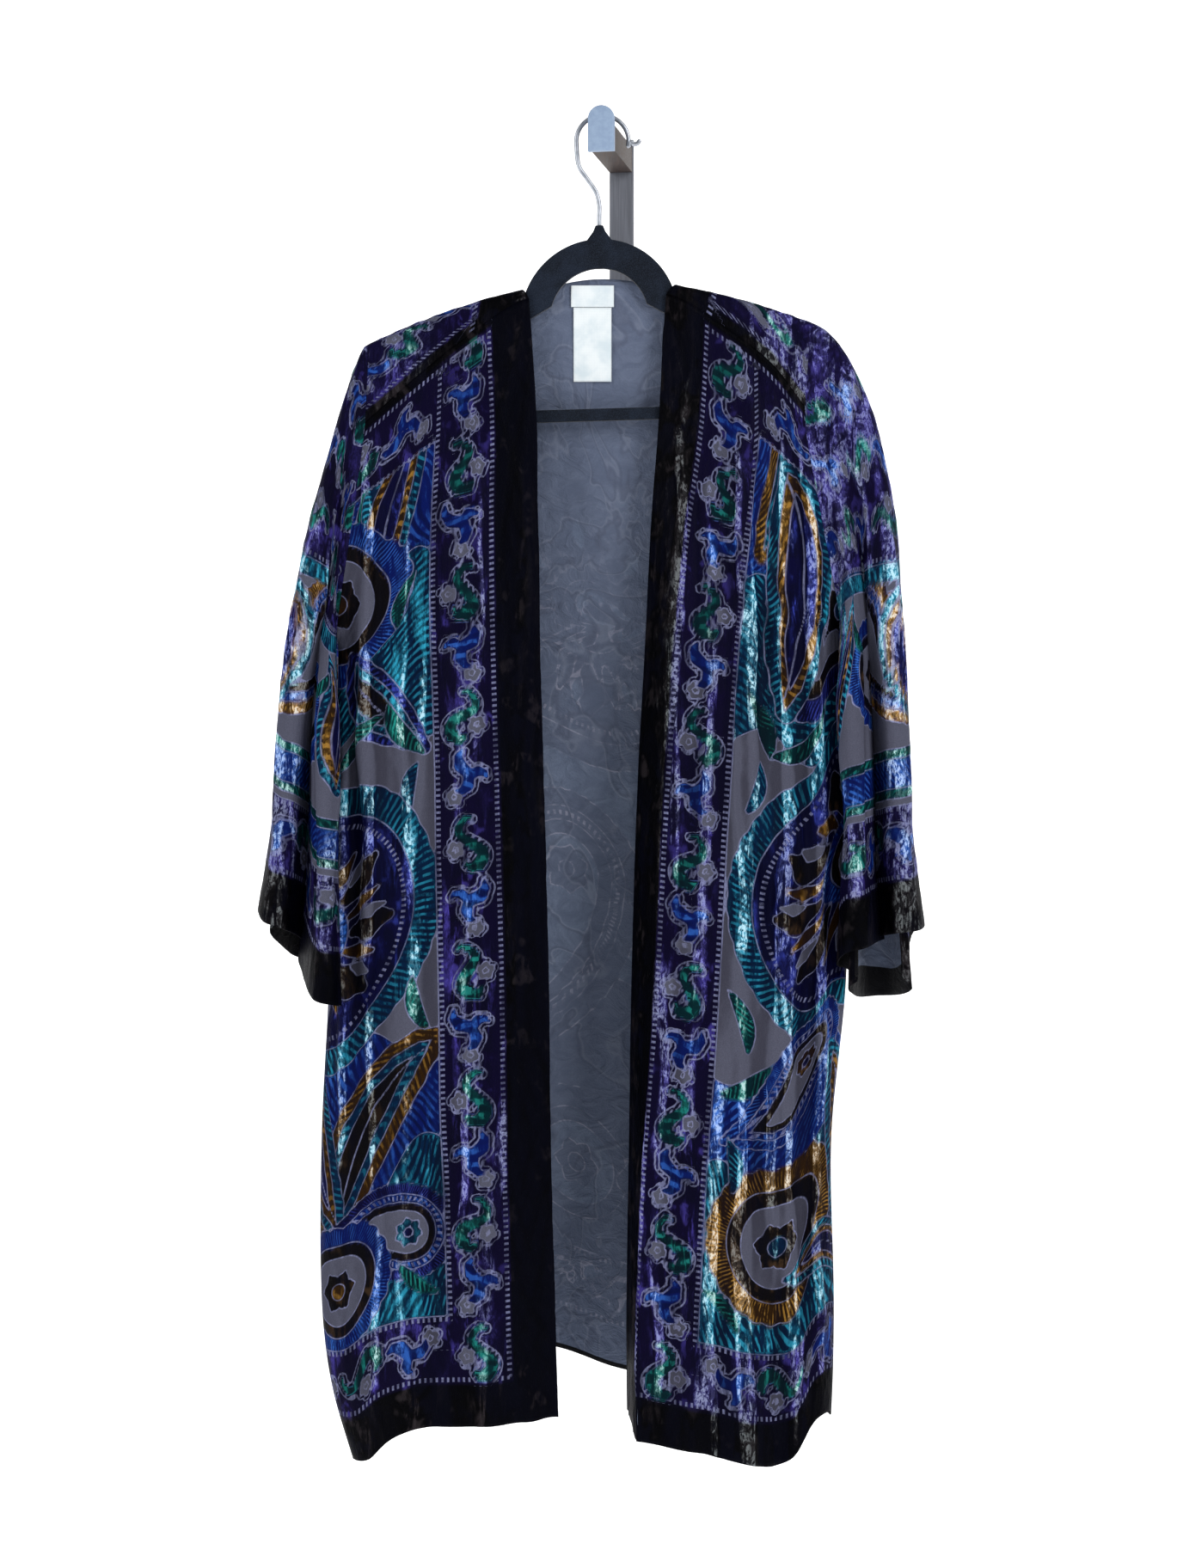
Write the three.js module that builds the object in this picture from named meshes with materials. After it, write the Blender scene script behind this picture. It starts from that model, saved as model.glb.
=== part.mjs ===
// An open kimono duster of burn-out velvet on a flocked hanger, hung over the arm of a wall hook.
// Millimetres, +Z up. X runs to the wearer's left, -Y is the garment's front.
// Inside the group "hung" the zero is the seat of the hanger's hook on the arm, and "down" is the
// distance below that seat. The whole group is then shifted so that the origin lies on the back of
// the wall hook's bar, where it is fixed to the wall.
import * as THREE from "three";

// ---- Driving dimensions ----
const CLOTH = 1.6;
const SEAM_GAP = 0.3;
const HALF_GAP = 0.3;
const SEAT_LIFT = 1.1;
const LABEL = 1.0;
const LABEL_GAP = 0.45;

const HANGER_THICK = 6;
const HANGER_TILT = 0.03;
const HANGER_ARCH = { down: 163, outer: 64, inner: 40, end: 72 };
const HANGER_ARM = { start: 66, zero: 62, down: 140.5, slope: 0.184, bow: 0.00113, end: 178, deep: 23 };
const HANGER_TIP = { x: 197, down: 214 };
const HANGER_BAR = { top: 237, bottom: 247 };
const HANGER_PEAK = { down: 88, half: 3, foot: 10 };

const WIRE_R = 1.8;
const LOOP = { x: 2.6, r: 21.4 };

const HOOK_YAW = THREE.MathUtils.degToRad(10);
const HOOK_X = 3.4;
const ARM_DROP = 0.5;
const ARM = { wide: 19, tall: 27, front: -6, back: 88 };
const CAP = { wide: 21.6, tall: 37, thick: 7, top: 7.7 };
const BAR = { wide: 20, thick: 6, top: 0, bottom: 190 };
const WALL_FACE = { along: ARM.back + SEAM_GAP + BAR.thick, down: 95 };

// The cloth bends over the hanger's arm on this radius, measured to its outer face.
const RIDGE_R = 6.5;
const NECK_HALF = 64;
const NECK_RISE = 14;
const SHOULDER = { left: -187, right: 172 };
const UNDERARM = { left: 430, right: 412 };
const ARMHOLE_SPREAD = 50;
const ARMHOLE_ROUND = 130;
const DRAPE_START = 150;
const BAND = 35;

// ---- Smooth tables: a row for each section, each column a named size ----
function smoothColumn(rows, key, name) {
  const x = rows.map((row) => row[key]);
  const y = rows.map((row) => row[name]);
  const last = x.length - 1;
  const slope = y.map((_, i) => {
    const a = Math.max(i - 1, 0);
    const b = Math.min(i + 1, last);
    return (y[b] - y[a]) / (x[b] - x[a]);
  });
  return (at) => {
    if (at <= x[0]) return y[0];
    if (at >= x[last]) return y[last];
    let i = 0;
    while (at > x[i + 1]) i += 1;
    const span = x[i + 1] - x[i];
    const t = (at - x[i]) / span;
    const t2 = t * t;
    const t3 = t2 * t;
    return (
      (2 * t3 - 3 * t2 + 1) * y[i] +
      (t3 - 2 * t2 + t) * span * slope[i] +
      (3 * t2 - 2 * t3) * y[i + 1] +
      (t3 - t2) * span * slope[i + 1]
    );
  };
}

function smoothTable(rows, key) {
  const names = Object.keys(rows[0]).filter((name) => name !== key);
  return Object.fromEntries(names.map((name) => [name, smoothColumn(rows, key, name)]));
}

const lerp = THREE.MathUtils.lerp;
const clamp = THREE.MathUtils.clamp;
const smooth = (t) => THREE.MathUtils.smoothstep(t, 0, 1);

// Body sections: side lines, front edges and band lines in x, depths in y.
const BODY = smoothTable(
  [
    { down: 120, left: -187, right: 172, leftEdge: -59, rightEdge: 56, rightBand: 74, frontLeft: 9, frontRight: 10, back: 9, curl: 0 },
    { down: 180, left: -187, right: 171, leftEdge: -55, rightEdge: 52, rightBand: 75, frontLeft: 12, frontRight: 14, back: 12, curl: 1 },
    { down: 250, left: -190, right: 167, leftEdge: -51, rightEdge: 48, rightBand: 70, frontLeft: 16, frontRight: 19, back: 16, curl: 10 },
    { down: 330, left: -200, right: 180, leftEdge: -50, rightEdge: 42, rightBand: 64, frontLeft: 20, frontRight: 24, back: 21, curl: 19 },
    { down: 430, left: -214, right: 198, leftEdge: -48, rightEdge: 37, rightBand: 58, frontLeft: 25, frontRight: 30, back: 27, curl: 25 },
    { down: 540, left: -218, right: 203, leftEdge: -45, rightEdge: 31, rightBand: 52, frontLeft: 28, frontRight: 33, back: 31, curl: 27 },
    { down: 700, left: -220, right: 201, leftEdge: -41, rightEdge: 26, rightBand: 45, frontLeft: 31, frontRight: 36, back: 36, curl: 29 },
    { down: 830, left: -226, right: 189, leftEdge: -39, rightEdge: 24, rightBand: 36, frontLeft: 33, frontRight: 39, back: 40, curl: 32 },
    { down: 960, left: -226, right: 191, leftEdge: -36, rightEdge: 22, rightBand: 30, frontLeft: 34, frontRight: 41, back: 43, curl: 33 },
    { down: 1030, left: -218, right: 190, leftEdge: -34, rightEdge: 22, rightBand: 29, frontLeft: 34, frontRight: 42, back: 44, curl: 33 },
    { down: 1100, left: -198, right: 186, leftEdge: -32, rightEdge: 23, rightBand: 30, frontLeft: 33, frontRight: 42, back: 44, curl: 32 },
  ],
  "down",
);

// The slanting seam where the back's shoulder flap meets each front.
const FLAP_SEAM = smoothTable(
  [
    { x: -190, down: 249 },
    { x: -150, down: 213 },
    { x: -105, down: 177 },
    { x: -60, down: 149 },
    { x: 0, down: 149 },
    { x: 56, down: 145 },
    { x: 100, down: 170 },
    { x: 140, down: 201 },
    { x: 168, down: 238 },
  ],
  "x",
);

// Hems by the share of the way from the front edge, or from the left side, round to the side seam.
const HEM_LEFT = smoothTable(
  [
    { share: 0, down: 1051 },
    { share: 0.3, down: 1059 },
    { share: 0.5, down: 1063 },
    { share: 0.62, down: 1074 },
    { share: 0.75, down: 1089 },
    { share: 1, down: 1092 },
  ],
  "share",
);
const HEM_RIGHT = smoothTable(
  [
    { share: 0, down: 1050 },
    { share: 0.16, down: 1067 },
    { share: 0.35, down: 1078 },
    { share: 0.6, down: 1088 },
    { share: 0.75, down: 1078 },
    { share: 1, down: 1056 },
  ],
  "share",
);
const HEM_BACK = smoothTable(
  [
    { share: 0, down: 1092 },
    { share: 0.15, down: 1076 },
    { share: 0.42, down: 1006 },
    { share: 0.55, down: 1026 },
    { share: 0.75, down: 1050 },
    { share: 1, down: 1056 },
  ],
  "share",
);

// Folds: ridges stand out by their height, troughs have a height below zero.
const FRONT_FOLDS = [
  { x: -187, xLow: -184, wide: 10, height: 7, top: 215, bottom: 780 },
  { x: -199, xLow: -197, wide: 8, height: -4, top: 300, bottom: 800 },
  { x: -209, xLow: -212, wide: 9, height: 5, top: 380, bottom: 760 },
  { x: -110, xLow: -113, wide: 14, height: 4, top: 250, bottom: 620 },
  { x: -128, xLow: -140, wide: 15, height: -3, top: 380, bottom: 800 },
  { x: -150, xLow: -166, wide: 17, height: 6, top: 560, bottom: 1120 },
  { x: -118, xLow: -132, wide: 14, height: -5, top: 800, bottom: 1130 },
  { x: -84, xLow: -94, wide: 16, height: 4, top: 760, bottom: 1130 },
  { x: 100, xLow: 62, wide: 11, height: 4, top: 240, bottom: 1050 },
  { x: 122, xLow: 127, wide: 11, height: 7, top: 215, bottom: 640 },
  { x: 143, xLow: 147, wide: 9, height: -5, top: 230, bottom: 620 },
  { x: 160, xLow: 184, wide: 11, height: 8, top: 205, bottom: 640 },
  { x: 152, xLow: 149, wide: 12, height: 6, top: 560, bottom: 860 },
  { x: 170, xLow: 166, wide: 9, height: -6, top: 620, bottom: 1000 },
  { x: 104, xLow: 74, wide: 12, height: 6, top: 700, bottom: 1130 },
  { x: 112, xLow: 120, wide: 13, height: 8, top: 860, bottom: 1140 },
  { x: 138, xLow: 148, wide: 10, height: -7, top: 880, bottom: 1140 },
];
const BACK_FOLDS = [
  { x: -165, xLow: -176, wide: 14, height: 5, top: 330, bottom: 1130 },
  { x: -128, xLow: -134, wide: 15, height: -4, top: 300, bottom: 1130 },
  { x: -92, xLow: -96, wide: 17, height: 6, top: 420, bottom: 1130 },
  { x: -48, xLow: -52, wide: 16, height: -4, top: 380, bottom: 1080 },
  { x: -12, xLow: -18, wide: 18, height: 5, top: 500, bottom: 1100 },
  { x: 26, xLow: 30, wide: 15, height: -4, top: 450, bottom: 1100 },
  { x: 66, xLow: 72, wide: 17, height: 6, top: 340, bottom: 1130 },
  { x: 108, xLow: 114, wide: 14, height: -5, top: 400, bottom: 1130 },
  { x: 146, xLow: 154, wide: 15, height: 5, top: 300, bottom: 1130 },
];

// Sleeve sections from armhole to cuff. "outer" is the edge that runs on from the shoulder, "inner"
// the edge that runs on from the underarm. Between them the flat sleeve hangs in three pleats, each
// "pleat" deep to either side; "deep" is half the space between its front and back layers.
const SLEEVE_RIGHT = smoothTable(
  [
    { share: 0, outerX: -187, outerY: 0, outerDown: 185, innerX: -214, innerY: 0, innerDown: 430, deep: 15, pleat: 0 },
    { share: 0.06, outerX: -198, outerY: 0, outerDown: 200, innerX: -219, innerY: 1, innerDown: 434, deep: 16, pleat: 0 },
    { share: 0.14, outerX: -207, outerY: 0, outerDown: 227, innerX: -223, innerY: 2, innerDown: 442, deep: 16, pleat: 2 },
    { share: 0.25, outerX: -219, outerY: 0, outerDown: 272, innerX: -227, innerY: 1, innerDown: 456, deep: 14, pleat: 6 },
    { share: 0.4, outerX: -236, outerY: 1, outerDown: 347, innerX: -222, innerY: -6, innerDown: 486, deep: 10, pleat: 13 },
    { share: 0.55, outerX: -248, outerY: 2, outerDown: 421, innerX: -217, innerY: -14, innerDown: 530, deep: 7, pleat: 19 },
    { share: 0.7, outerX: -257, outerY: 3, outerDown: 497, innerX: -213, innerY: -20, innerDown: 590, deep: 6, pleat: 23 },
    { share: 0.85, outerX: -264, outerY: 4, outerDown: 570, innerX: -211, innerY: -22, innerDown: 655, deep: 6, pleat: 25 },
    { share: 1, outerX: -275, outerY: 5, outerDown: 640, innerX: -210, innerY: -23, innerDown: 718, deep: 7, pleat: 26 },
  ],
  "share",
);
const SLEEVE_LEFT = smoothTable(
  [
    { share: 0, outerX: 172, outerY: 0, outerDown: 167, innerX: 198, innerY: 0, innerDown: 412, deep: 15, pleat: 0 },
    { share: 0.06, outerX: 194, outerY: 0, outerDown: 173, innerX: 204, innerY: 1, innerDown: 416, deep: 16, pleat: 0 },
    { share: 0.14, outerX: 211, outerY: 0, outerDown: 196, innerX: 208, innerY: 2, innerDown: 425, deep: 16, pleat: 2 },
    { share: 0.25, outerX: 224, outerY: 0, outerDown: 245, innerX: 212, innerY: 1, innerDown: 440, deep: 14, pleat: 6 },
    { share: 0.4, outerX: 238, outerY: 1, outerDown: 325, innerX: 207, innerY: -6, innerDown: 472, deep: 10, pleat: 12 },
    { share: 0.55, outerX: 243, outerY: 2, outerDown: 410, innerX: 203, innerY: -14, innerDown: 520, deep: 7, pleat: 18 },
    { share: 0.7, outerX: 247, outerY: 3, outerDown: 495, innerX: 199, innerY: -20, innerDown: 575, deep: 6, pleat: 22 },
    { share: 0.85, outerX: 252, outerY: 4, outerDown: 575, innerX: 196, innerY: -22, innerDown: 635, deep: 7, pleat: 23 },
    { share: 1, outerX: 261, outerY: 4, outerDown: 655, innerX: 194, innerY: -23, innerDown: 690, deep: 9, pleat: 23 },
  ],
  "share",
);

// What each cuff hangs below its own section, by the turn round it: 0 is the outer edge, 0.25 the
// middle of the front layer, 0.5 the inner edge and 0.75 the middle of the back layer.
const CUFF_RIGHT = smoothTable(
  [
    { turn: 0, drop: 0 },
    { turn: 0.1, drop: 2 },
    { turn: 0.2, drop: -2 },
    { turn: 0.32, drop: 8 },
    { turn: 0.42, drop: 12 },
    { turn: 0.5, drop: 4 },
    { turn: 0.75, drop: 8 },
    { turn: 1, drop: 0 },
  ],
  "turn",
);
const CUFF_LEFT = smoothTable(
  [
    { turn: 0, drop: 0 },
    { turn: 0.12, drop: 0 },
    { turn: 0.25, drop: -4 },
    { turn: 0.4, drop: -10 },
    { turn: 0.5, drop: 0 },
    { turn: 0.62, drop: 28 },
    { turn: 0.75, drop: 44 },
    { turn: 0.92, drop: 40 },
    { turn: 1, drop: 0 },
  ],
  "turn",
);

// ---- Grid counts ----
const ACROSS = 16;
const BAND_CELLS = 3;
const NECK_CELLS = 8;
const ROWS_LOW = 17;
const ROWS_BACK_UP = 8;
const ROWS_BEND = 3;
const ROWS_FLAP = 7;
const ROWS_FRONT_UP = 6;
const SLEEVE_ROWS = 18;

// ---- Hanger line and the cloth's ridge over it ----
function armDown(x) {
  const u = Math.abs(x) - HANGER_ARM.zero;
  return HANGER_ARM.down + HANGER_ARM.slope * u + HANGER_ARM.bow * u * u;
}

function ridgeDown(x) {
  const half = Math.abs(x);
  const rise = half < NECK_HALF ? NECK_RISE * (1 - (half / NECK_HALF) ** 2) : 0;
  const line = armDown(clamp(half, NECK_HALF, 190));
  return line - rise - HANGER_TILT * x - SEAT_LIFT - CLOTH;
}

// ---- Body section: a flat oval whose sides round off ----
function sideX(side, down) {
  return side < 0 ? BODY.left(down) : BODY.right(down);
}

function spread(side, down) {
  const under = side < 0 ? UNDERARM.left : UNDERARM.right;
  const t = clamp((down - under + ARMHOLE_ROUND) / ARMHOLE_ROUND, 0, 1);
  return ARMHOLE_SPREAD * (1 - t * t);
}

function section(down) {
  const left = BODY.left(down) - spread(-1, down);
  const right = BODY.right(down) + spread(1, down);
  return { centre: (left + right) / 2, half: (right - left) / 2 };
}

function angleOf(x, down) {
  const { centre, half } = section(down);
  return Math.asin(clamp((x - centre) / half, -1, 1));
}

function xOf(angle, down) {
  const { centre, half } = section(down);
  return centre + half * Math.sin(angle);
}

function roundedDepth(angle) {
  return Math.cos(angle) * Math.sqrt(1 + Math.sin(angle) ** 2);
}

function foldHeight(folds, x, down, angle) {
  let sum = 0;
  for (const fold of folds) {
    const t = (down - fold.top) / (fold.bottom - fold.top);
    if (t <= 0 || t >= 1) continue;
    const at = lerp(fold.x, fold.xLow, t);
    const fade = smooth(t / 0.25) * smooth((1 - t) / 0.25);
    sum += fold.height * fade * Math.exp(-(((x - at) / fold.wide) ** 2));
  }
  return sum * clamp(2.4 * Math.cos(angle), 0, 1);
}

function depthAt(x, down, angle, full, folds) {
  const below = down - ridgeDown(x) - RIDGE_R;
  const grown = smooth(below / DRAPE_START);
  const round = full * roundedDepth(angle) + foldHeight(folds, x, down, angle);
  return lerp(RIDGE_R, round, grown);
}

function frontDepth(x, down, angle) {
  const blend = smooth((x + 40) / 80);
  const full = lerp(BODY.frontLeft(down), BODY.frontRight(down), blend);
  return depthAt(x, down, angle, full, FRONT_FOLDS);
}

function backDepth(x, down, angle) {
  return depthAt(x, down, angle, BODY.back(down), BACK_FOLDS);
}

// ---- Fronts ----
function edgeX(side, down) {
  return side < 0 ? BODY.leftEdge(down) : BODY.rightEdge(down);
}

function bandX(side, down) {
  return side < 0 ? BODY.leftEdge(down) - BAND : BODY.rightBand(down);
}

function frontX(side, share, down) {
  const bandShare = BAND_CELLS / ACROSS;
  const band = bandX(side, down);
  if (share < bandShare) return lerp(edgeX(side, down), band, share / bandShare);
  const start = angleOf(band, down);
  const end = angleOf(sideX(side, down), down);
  return xOf(lerp(start, end, (share - bandShare) / (1 - bandShare)), down);
}

function frontTop(side, share) {
  let down = 190;
  for (let i = 0; i < 12; i += 1) down = FLAP_SEAM.down(frontX(side, share, down));
  return down;
}

function frontPoint(side, share, down) {
  const x = frontX(side, share, down);
  const angle = angleOf(x, down);
  const turned = side > 0 ? clamp(1 - (share * ACROSS) / BAND_CELLS, 0, 1) : 0;
  const curl = BODY.curl(down) * turned ** 1.4;
  const onSeam = share === 1 && down >= underarmDown(side) - 1e-6;
  const y = onSeam ? -HALF_GAP : -frontDepth(x, down, angle) + curl;
  return new THREE.Vector3(x, Math.min(y, -HALF_GAP), -down);
}

function underarmDown(side) {
  return side < 0 ? UNDERARM.left : UNDERARM.right;
}

function frontGrid(side) {
  const hem = side < 0 ? HEM_LEFT : HEM_RIGHT;
  const rows = ROWS_FRONT_UP + ROWS_LOW;
  const grid = [];
  for (let row = 0; row <= rows; row += 1) {
    const line = [];
    for (let column = 0; column <= ACROSS; column += 1) {
      const share = column / ACROSS;
      const under = underarmDown(side);
      const down =
        row <= ROWS_FRONT_UP
          ? lerp(frontTop(side, share) + HALF_GAP, under, row / ROWS_FRONT_UP)
          : lerp(under, hem.down(share), (row - ROWS_FRONT_UP) / ROWS_LOW);
      line.push(frontPoint(side, share, down));
    }
    grid.push(line);
  }
  return grid;
}

// ---- Back, with its flaps over the shoulders ----
const BACK_COLUMNS = 2 * ACROSS + NECK_CELLS;

function ridgeX(column) {
  if (column < ACROSS) return lerp(SHOULDER.left, -NECK_HALF, column / ACROSS);
  if (column > ACROSS + NECK_CELLS) {
    return lerp(NECK_HALF, SHOULDER.right, (column - ACROSS - NECK_CELLS) / ACROSS);
  }
  return lerp(-NECK_HALF, NECK_HALF, (column - ACROSS) / NECK_CELLS);
}

function seamX(column) {
  const side = column <= ACROSS ? -1 : 1;
  const share = side < 0 ? 1 - column / ACROSS : (column - ACROSS - NECK_CELLS) / ACROSS;
  return frontX(side, share, frontTop(side, share));
}

function backX(column, down) {
  const start = angleOf(sideX(-1, down), down);
  const end = angleOf(sideX(1, down), down);
  const low = lerp(start, end, column / BACK_COLUMNS);
  const top = ridgeX(column);
  const grown = smooth((down - 190) / 240);
  const fit = column === 0 ? start : column === BACK_COLUMNS ? end : angleOf(top, down);
  const limit = clamp(fit, start, end);
  return xOf(lerp(limit, low, grown), down);
}

function backPoint(column, down) {
  const x = backX(column, down);
  const angle = angleOf(x, down);
  const side = column < BACK_COLUMNS / 2 ? -1 : 1;
  const onSeam = (column === 0 || column === BACK_COLUMNS) && down >= underarmDown(side) - 1e-6;
  const y = onSeam ? HALF_GAP : Math.max(backDepth(x, down, angle), HALF_GAP);
  return new THREE.Vector3(x, y, -down);
}

function bendPoint(x, run) {
  const top = ridgeDown(x);
  const quarter = (RIDGE_R * Math.PI) / 2;
  if (run <= quarter) {
    const angle = run / RIDGE_R;
    return new THREE.Vector3(x, -RIDGE_R * Math.sin(angle), -top - RIDGE_R * (1 - Math.cos(angle)));
  }
  const down = top + RIDGE_R + run - quarter;
  return new THREE.Vector3(x, -frontDepth(x, down, angleOf(x, down)), -down);
}

function flapRun(x, down) {
  const fall = down - ridgeDown(x);
  if (fall < RIDGE_R) return RIDGE_R * Math.acos(1 - Math.max(fall, 0) / RIDGE_R);
  return (RIDGE_R * Math.PI) / 2 + fall - RIDGE_R;
}

function backGrid() {
  const rows = ROWS_LOW + ROWS_BACK_UP;
  const grid = [];
  for (let row = 0; row <= rows; row += 1) {
    const line = [];
    for (let column = 0; column <= BACK_COLUMNS; column += 1) {
      const share = column / BACK_COLUMNS;
      const under = lerp(UNDERARM.left, UNDERARM.right, share);
      const down =
        row <= ROWS_LOW
          ? lerp(HEM_BACK.down(share), under, row / ROWS_LOW)
          : lerp(under, ridgeDown(ridgeX(column)) + RIDGE_R, (row - ROWS_LOW) / ROWS_BACK_UP);
      line.push(backPoint(column, down));
    }
    grid.push(line);
  }
  for (let row = 1; row <= ROWS_BEND; row += 1) {
    const angle = (Math.PI / 2) * (1 - row / ROWS_BEND);
    grid.push(
      grid[rows].map((_, column) => {
        const x = ridgeX(column);
        const rise = RIDGE_R * (1 - Math.cos(angle));
        return new THREE.Vector3(x, RIDGE_R * Math.sin(angle), -ridgeDown(x) - rise);
      }),
    );
  }
  for (let row = 1; row <= ROWS_FLAP; row += 1) {
    const share = (row / ROWS_FLAP) ** 1.5;
    grid.push(
      grid[rows].map((_, column) => {
        const x = lerp(ridgeX(column), seamX(column), share);
        const run = flapRun(x, FLAP_SEAM.down(x) - HALF_GAP) * share;
        return bendPoint(x, run);
      }),
    );
  }
  return grid;
}

function onBack(row, column) {
  const neck = column >= ACROSS && column < ACROSS + NECK_CELLS;
  return !(neck && row >= ROWS_LOW + ROWS_BACK_UP);
}

// ---- Sleeves ----
// The armhole runs from the underarm up the back, over the shoulder and down the front.
function armholeLine(side, back, front) {
  const inset = side < 0 ? 1 : -1;
  const backColumn = side < 0 ? 0 : BACK_COLUMNS;
  const points = [];
  for (let row = ROWS_LOW; row < back.length; row += 1) {
    const edge = back[row][backColumn];
    points.push({ edge: edge.clone(), inside: back[row][backColumn + inset].clone() });
  }
  for (let row = 0; row <= ROWS_FRONT_UP; row += 1) {
    const edge = front[row][ACROSS];
    points.push({ edge: edge.clone(), inside: front[row][ACROSS - 1].clone() });
  }
  const flap = ROWS_BACK_UP + ROWS_BEND + ROWS_FLAP;
  const joinPair = (a, b) => {
    a.edge.lerp(b.edge, 0.5);
    a.inside.lerp(b.inside, 0.5);
  };
  joinPair(points[flap], points[flap + 1]);
  points.splice(flap + 1, 1);
  joinPair(points[0], points[points.length - 1]);
  points.pop();
  return points;
}

// The turn round the section of each armhole point: 0 at the shoulder ridge, 0.5 at the underarm.
// At the armhole the turns follow the length of the line, and towards the cuff they are even.
function armholeTurns(points) {
  const ridge = ROWS_BACK_UP + ROWS_BEND;
  const runs = [0];
  for (let i = 1; i <= points.length; i += 1) {
    const step = points[i % points.length].edge.distanceTo(points[i - 1].edge);
    runs.push(runs[i - 1] + step);
  }
  const half = runs[ridge];
  const whole = runs[points.length];
  return points.map((_, i) => {
    if (i <= ridge) return { byLength: 0.5 + (0.5 * runs[i]) / half, even: 0.5 + (0.5 * i) / ridge };
    const byLength = (0.5 * (runs[i] - half)) / (whole - half);
    return { byLength, even: (0.5 * (i - ridge)) / (points.length - ridge) };
  });
}

const PLEATS = 3;

function sleevePoint(table, cuff, side, turn, share) {
  const front = turn <= 0.5;
  const across = front ? 2 * turn : 2 - 2 * turn;
  const outer = new THREE.Vector3(table.outerX(share), table.outerY(share), -table.outerDown(share));
  const inner = new THREE.Vector3(table.innerX(share), table.innerY(share), -table.innerDown(share));
  const flat = inner.clone().sub(outer);
  const point = outer.clone().addScaledVector(flat, across);
  const wave = PLEATS * Math.PI;
  point.y -= table.pleat(share) * Math.sin(wave * across);
  const tangent = flat.clone();
  tangent.y -= table.pleat(share) * wave * Math.cos(wave * across);
  const level = smooth(share / 0.6);
  const travel = new THREE.Vector3(side * (1 - level), 0, -level).normalize();
  const facing = travel.cross(tangent).normalize().multiplyScalar(-side);
  const open = Math.sqrt(Math.max(1 - (2 * across - 1) ** 6, 0));
  point.addScaledVector(facing, table.deep(share) * open * (front ? 1 : -1));
  point.z -= cuff.drop(turn) * share ** 3;
  return point;
}

function sleeveGrid(side, back, front) {
  const table = side < 0 ? SLEEVE_RIGHT : SLEEVE_LEFT;
  const cuff = side < 0 ? CUFF_RIGHT : CUFF_LEFT;
  const armhole = armholeLine(side, back, front);
  const turns = armholeTurns(armhole);
  const grid = [];
  for (let row = 0; row <= SLEEVE_ROWS; row += 1) {
    const share = row / SLEEVE_ROWS;
    const line = armhole.map(({ edge, inside }, i) => {
      const out = edge.clone().sub(inside).normalize();
      if (row === 0) return edge.clone().addScaledVector(out, SEAM_GAP);
      const near = edge.clone().addScaledVector(out, 4 + 20 * share);
      const turn = lerp(turns[i].byLength, turns[i].even, smooth(share / 0.5));
      const own = sleevePoint(table, cuff, side, turn, share);
      return near.lerp(own, smooth((share - 0.03) / 0.25));
    });
    line.push(line[0]);
    grid.push(line);
  }
  return grid;
}

// ---- Cloth wall: the grid is one face, and the other lies one thickness behind it ----
function wallNormals(grid, present, square) {
  const rows = grid.length;
  const columns = grid[0].length;
  return grid.map((line, row) =>
    line.map((_, column) => {
      const sum = new THREE.Vector3();
      for (const [r, c] of [[row, column], [row - 1, column], [row, column - 1], [row - 1, column - 1]]) {
        if (r < 0 || c < 0 || r >= rows - 1 || c >= columns - 1 || !present(r, c)) continue;
        const across = grid[r][c + 1].clone().sub(grid[r][c]).add(grid[r + 1][c + 1]).sub(grid[r + 1][c]);
        const along = grid[r + 1][c].clone().sub(grid[r][c]).add(grid[r + 1][c + 1]).sub(grid[r][c + 1]);
        sum.add(across.cross(along).normalize());
      }
      if (square(row, column)) sum.y = 0;
      return sum.normalize();
    }),
  );
}

function wallGeometry(grid, options) {
  const { thick = CLOTH, present = () => true, square = () => false, closed = false, flip = false } = options;
  const rows = grid.length - 1;
  const columns = grid[0].length - 1;
  const normals = wallNormals(grid, present, square);
  if (closed) {
    for (const line of normals) {
      line[0].add(line[columns]).normalize();
      line[columns] = line[0];
    }
  }
  const sign = flip ? -1 : 1;
  const face = (r, c) => grid[r][c];
  const behind = (r, c) => grid[r][c].clone().addScaledVector(normals[r][c], -sign * thick);
  const corners = [];
  const quad = (a, b, c, d) => {
    const order = flip ? [a, c, b, a, d, c] : [a, b, c, a, c, d];
    for (const p of order) corners.push(p.x, p.y, p.z);
  };
  const there = (r, c) => r >= 0 && c >= 0 && r < rows && c < columns && present(r, c);
  for (let r = 0; r < rows; r += 1) {
    for (let c = 0; c < columns; c += 1) {
      if (!there(r, c)) continue;
      quad(face(r, c), face(r, c + 1), face(r + 1, c + 1), face(r + 1, c));
      quad(behind(r, c), behind(r + 1, c), behind(r + 1, c + 1), behind(r, c + 1));
      const rim = (r0, c0, r1, c1) => quad(face(r1, c1), face(r0, c0), behind(r0, c0), behind(r1, c1));
      if (!there(r - 1, c)) rim(r, c, r, c + 1);
      if (!there(r + 1, c)) rim(r + 1, c + 1, r + 1, c);
      if (!closed && !there(r, c - 1)) rim(r + 1, c, r, c);
      if (!closed && !there(r, c + 1)) rim(r, c + 1, r + 1, c + 1);
    }
  }
  const geometry = new THREE.BufferGeometry();
  geometry.setAttribute("position", new THREE.Float32BufferAttribute(corners, 3));
  geometry.computeVertexNormals();
  return geometry;
}

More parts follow.
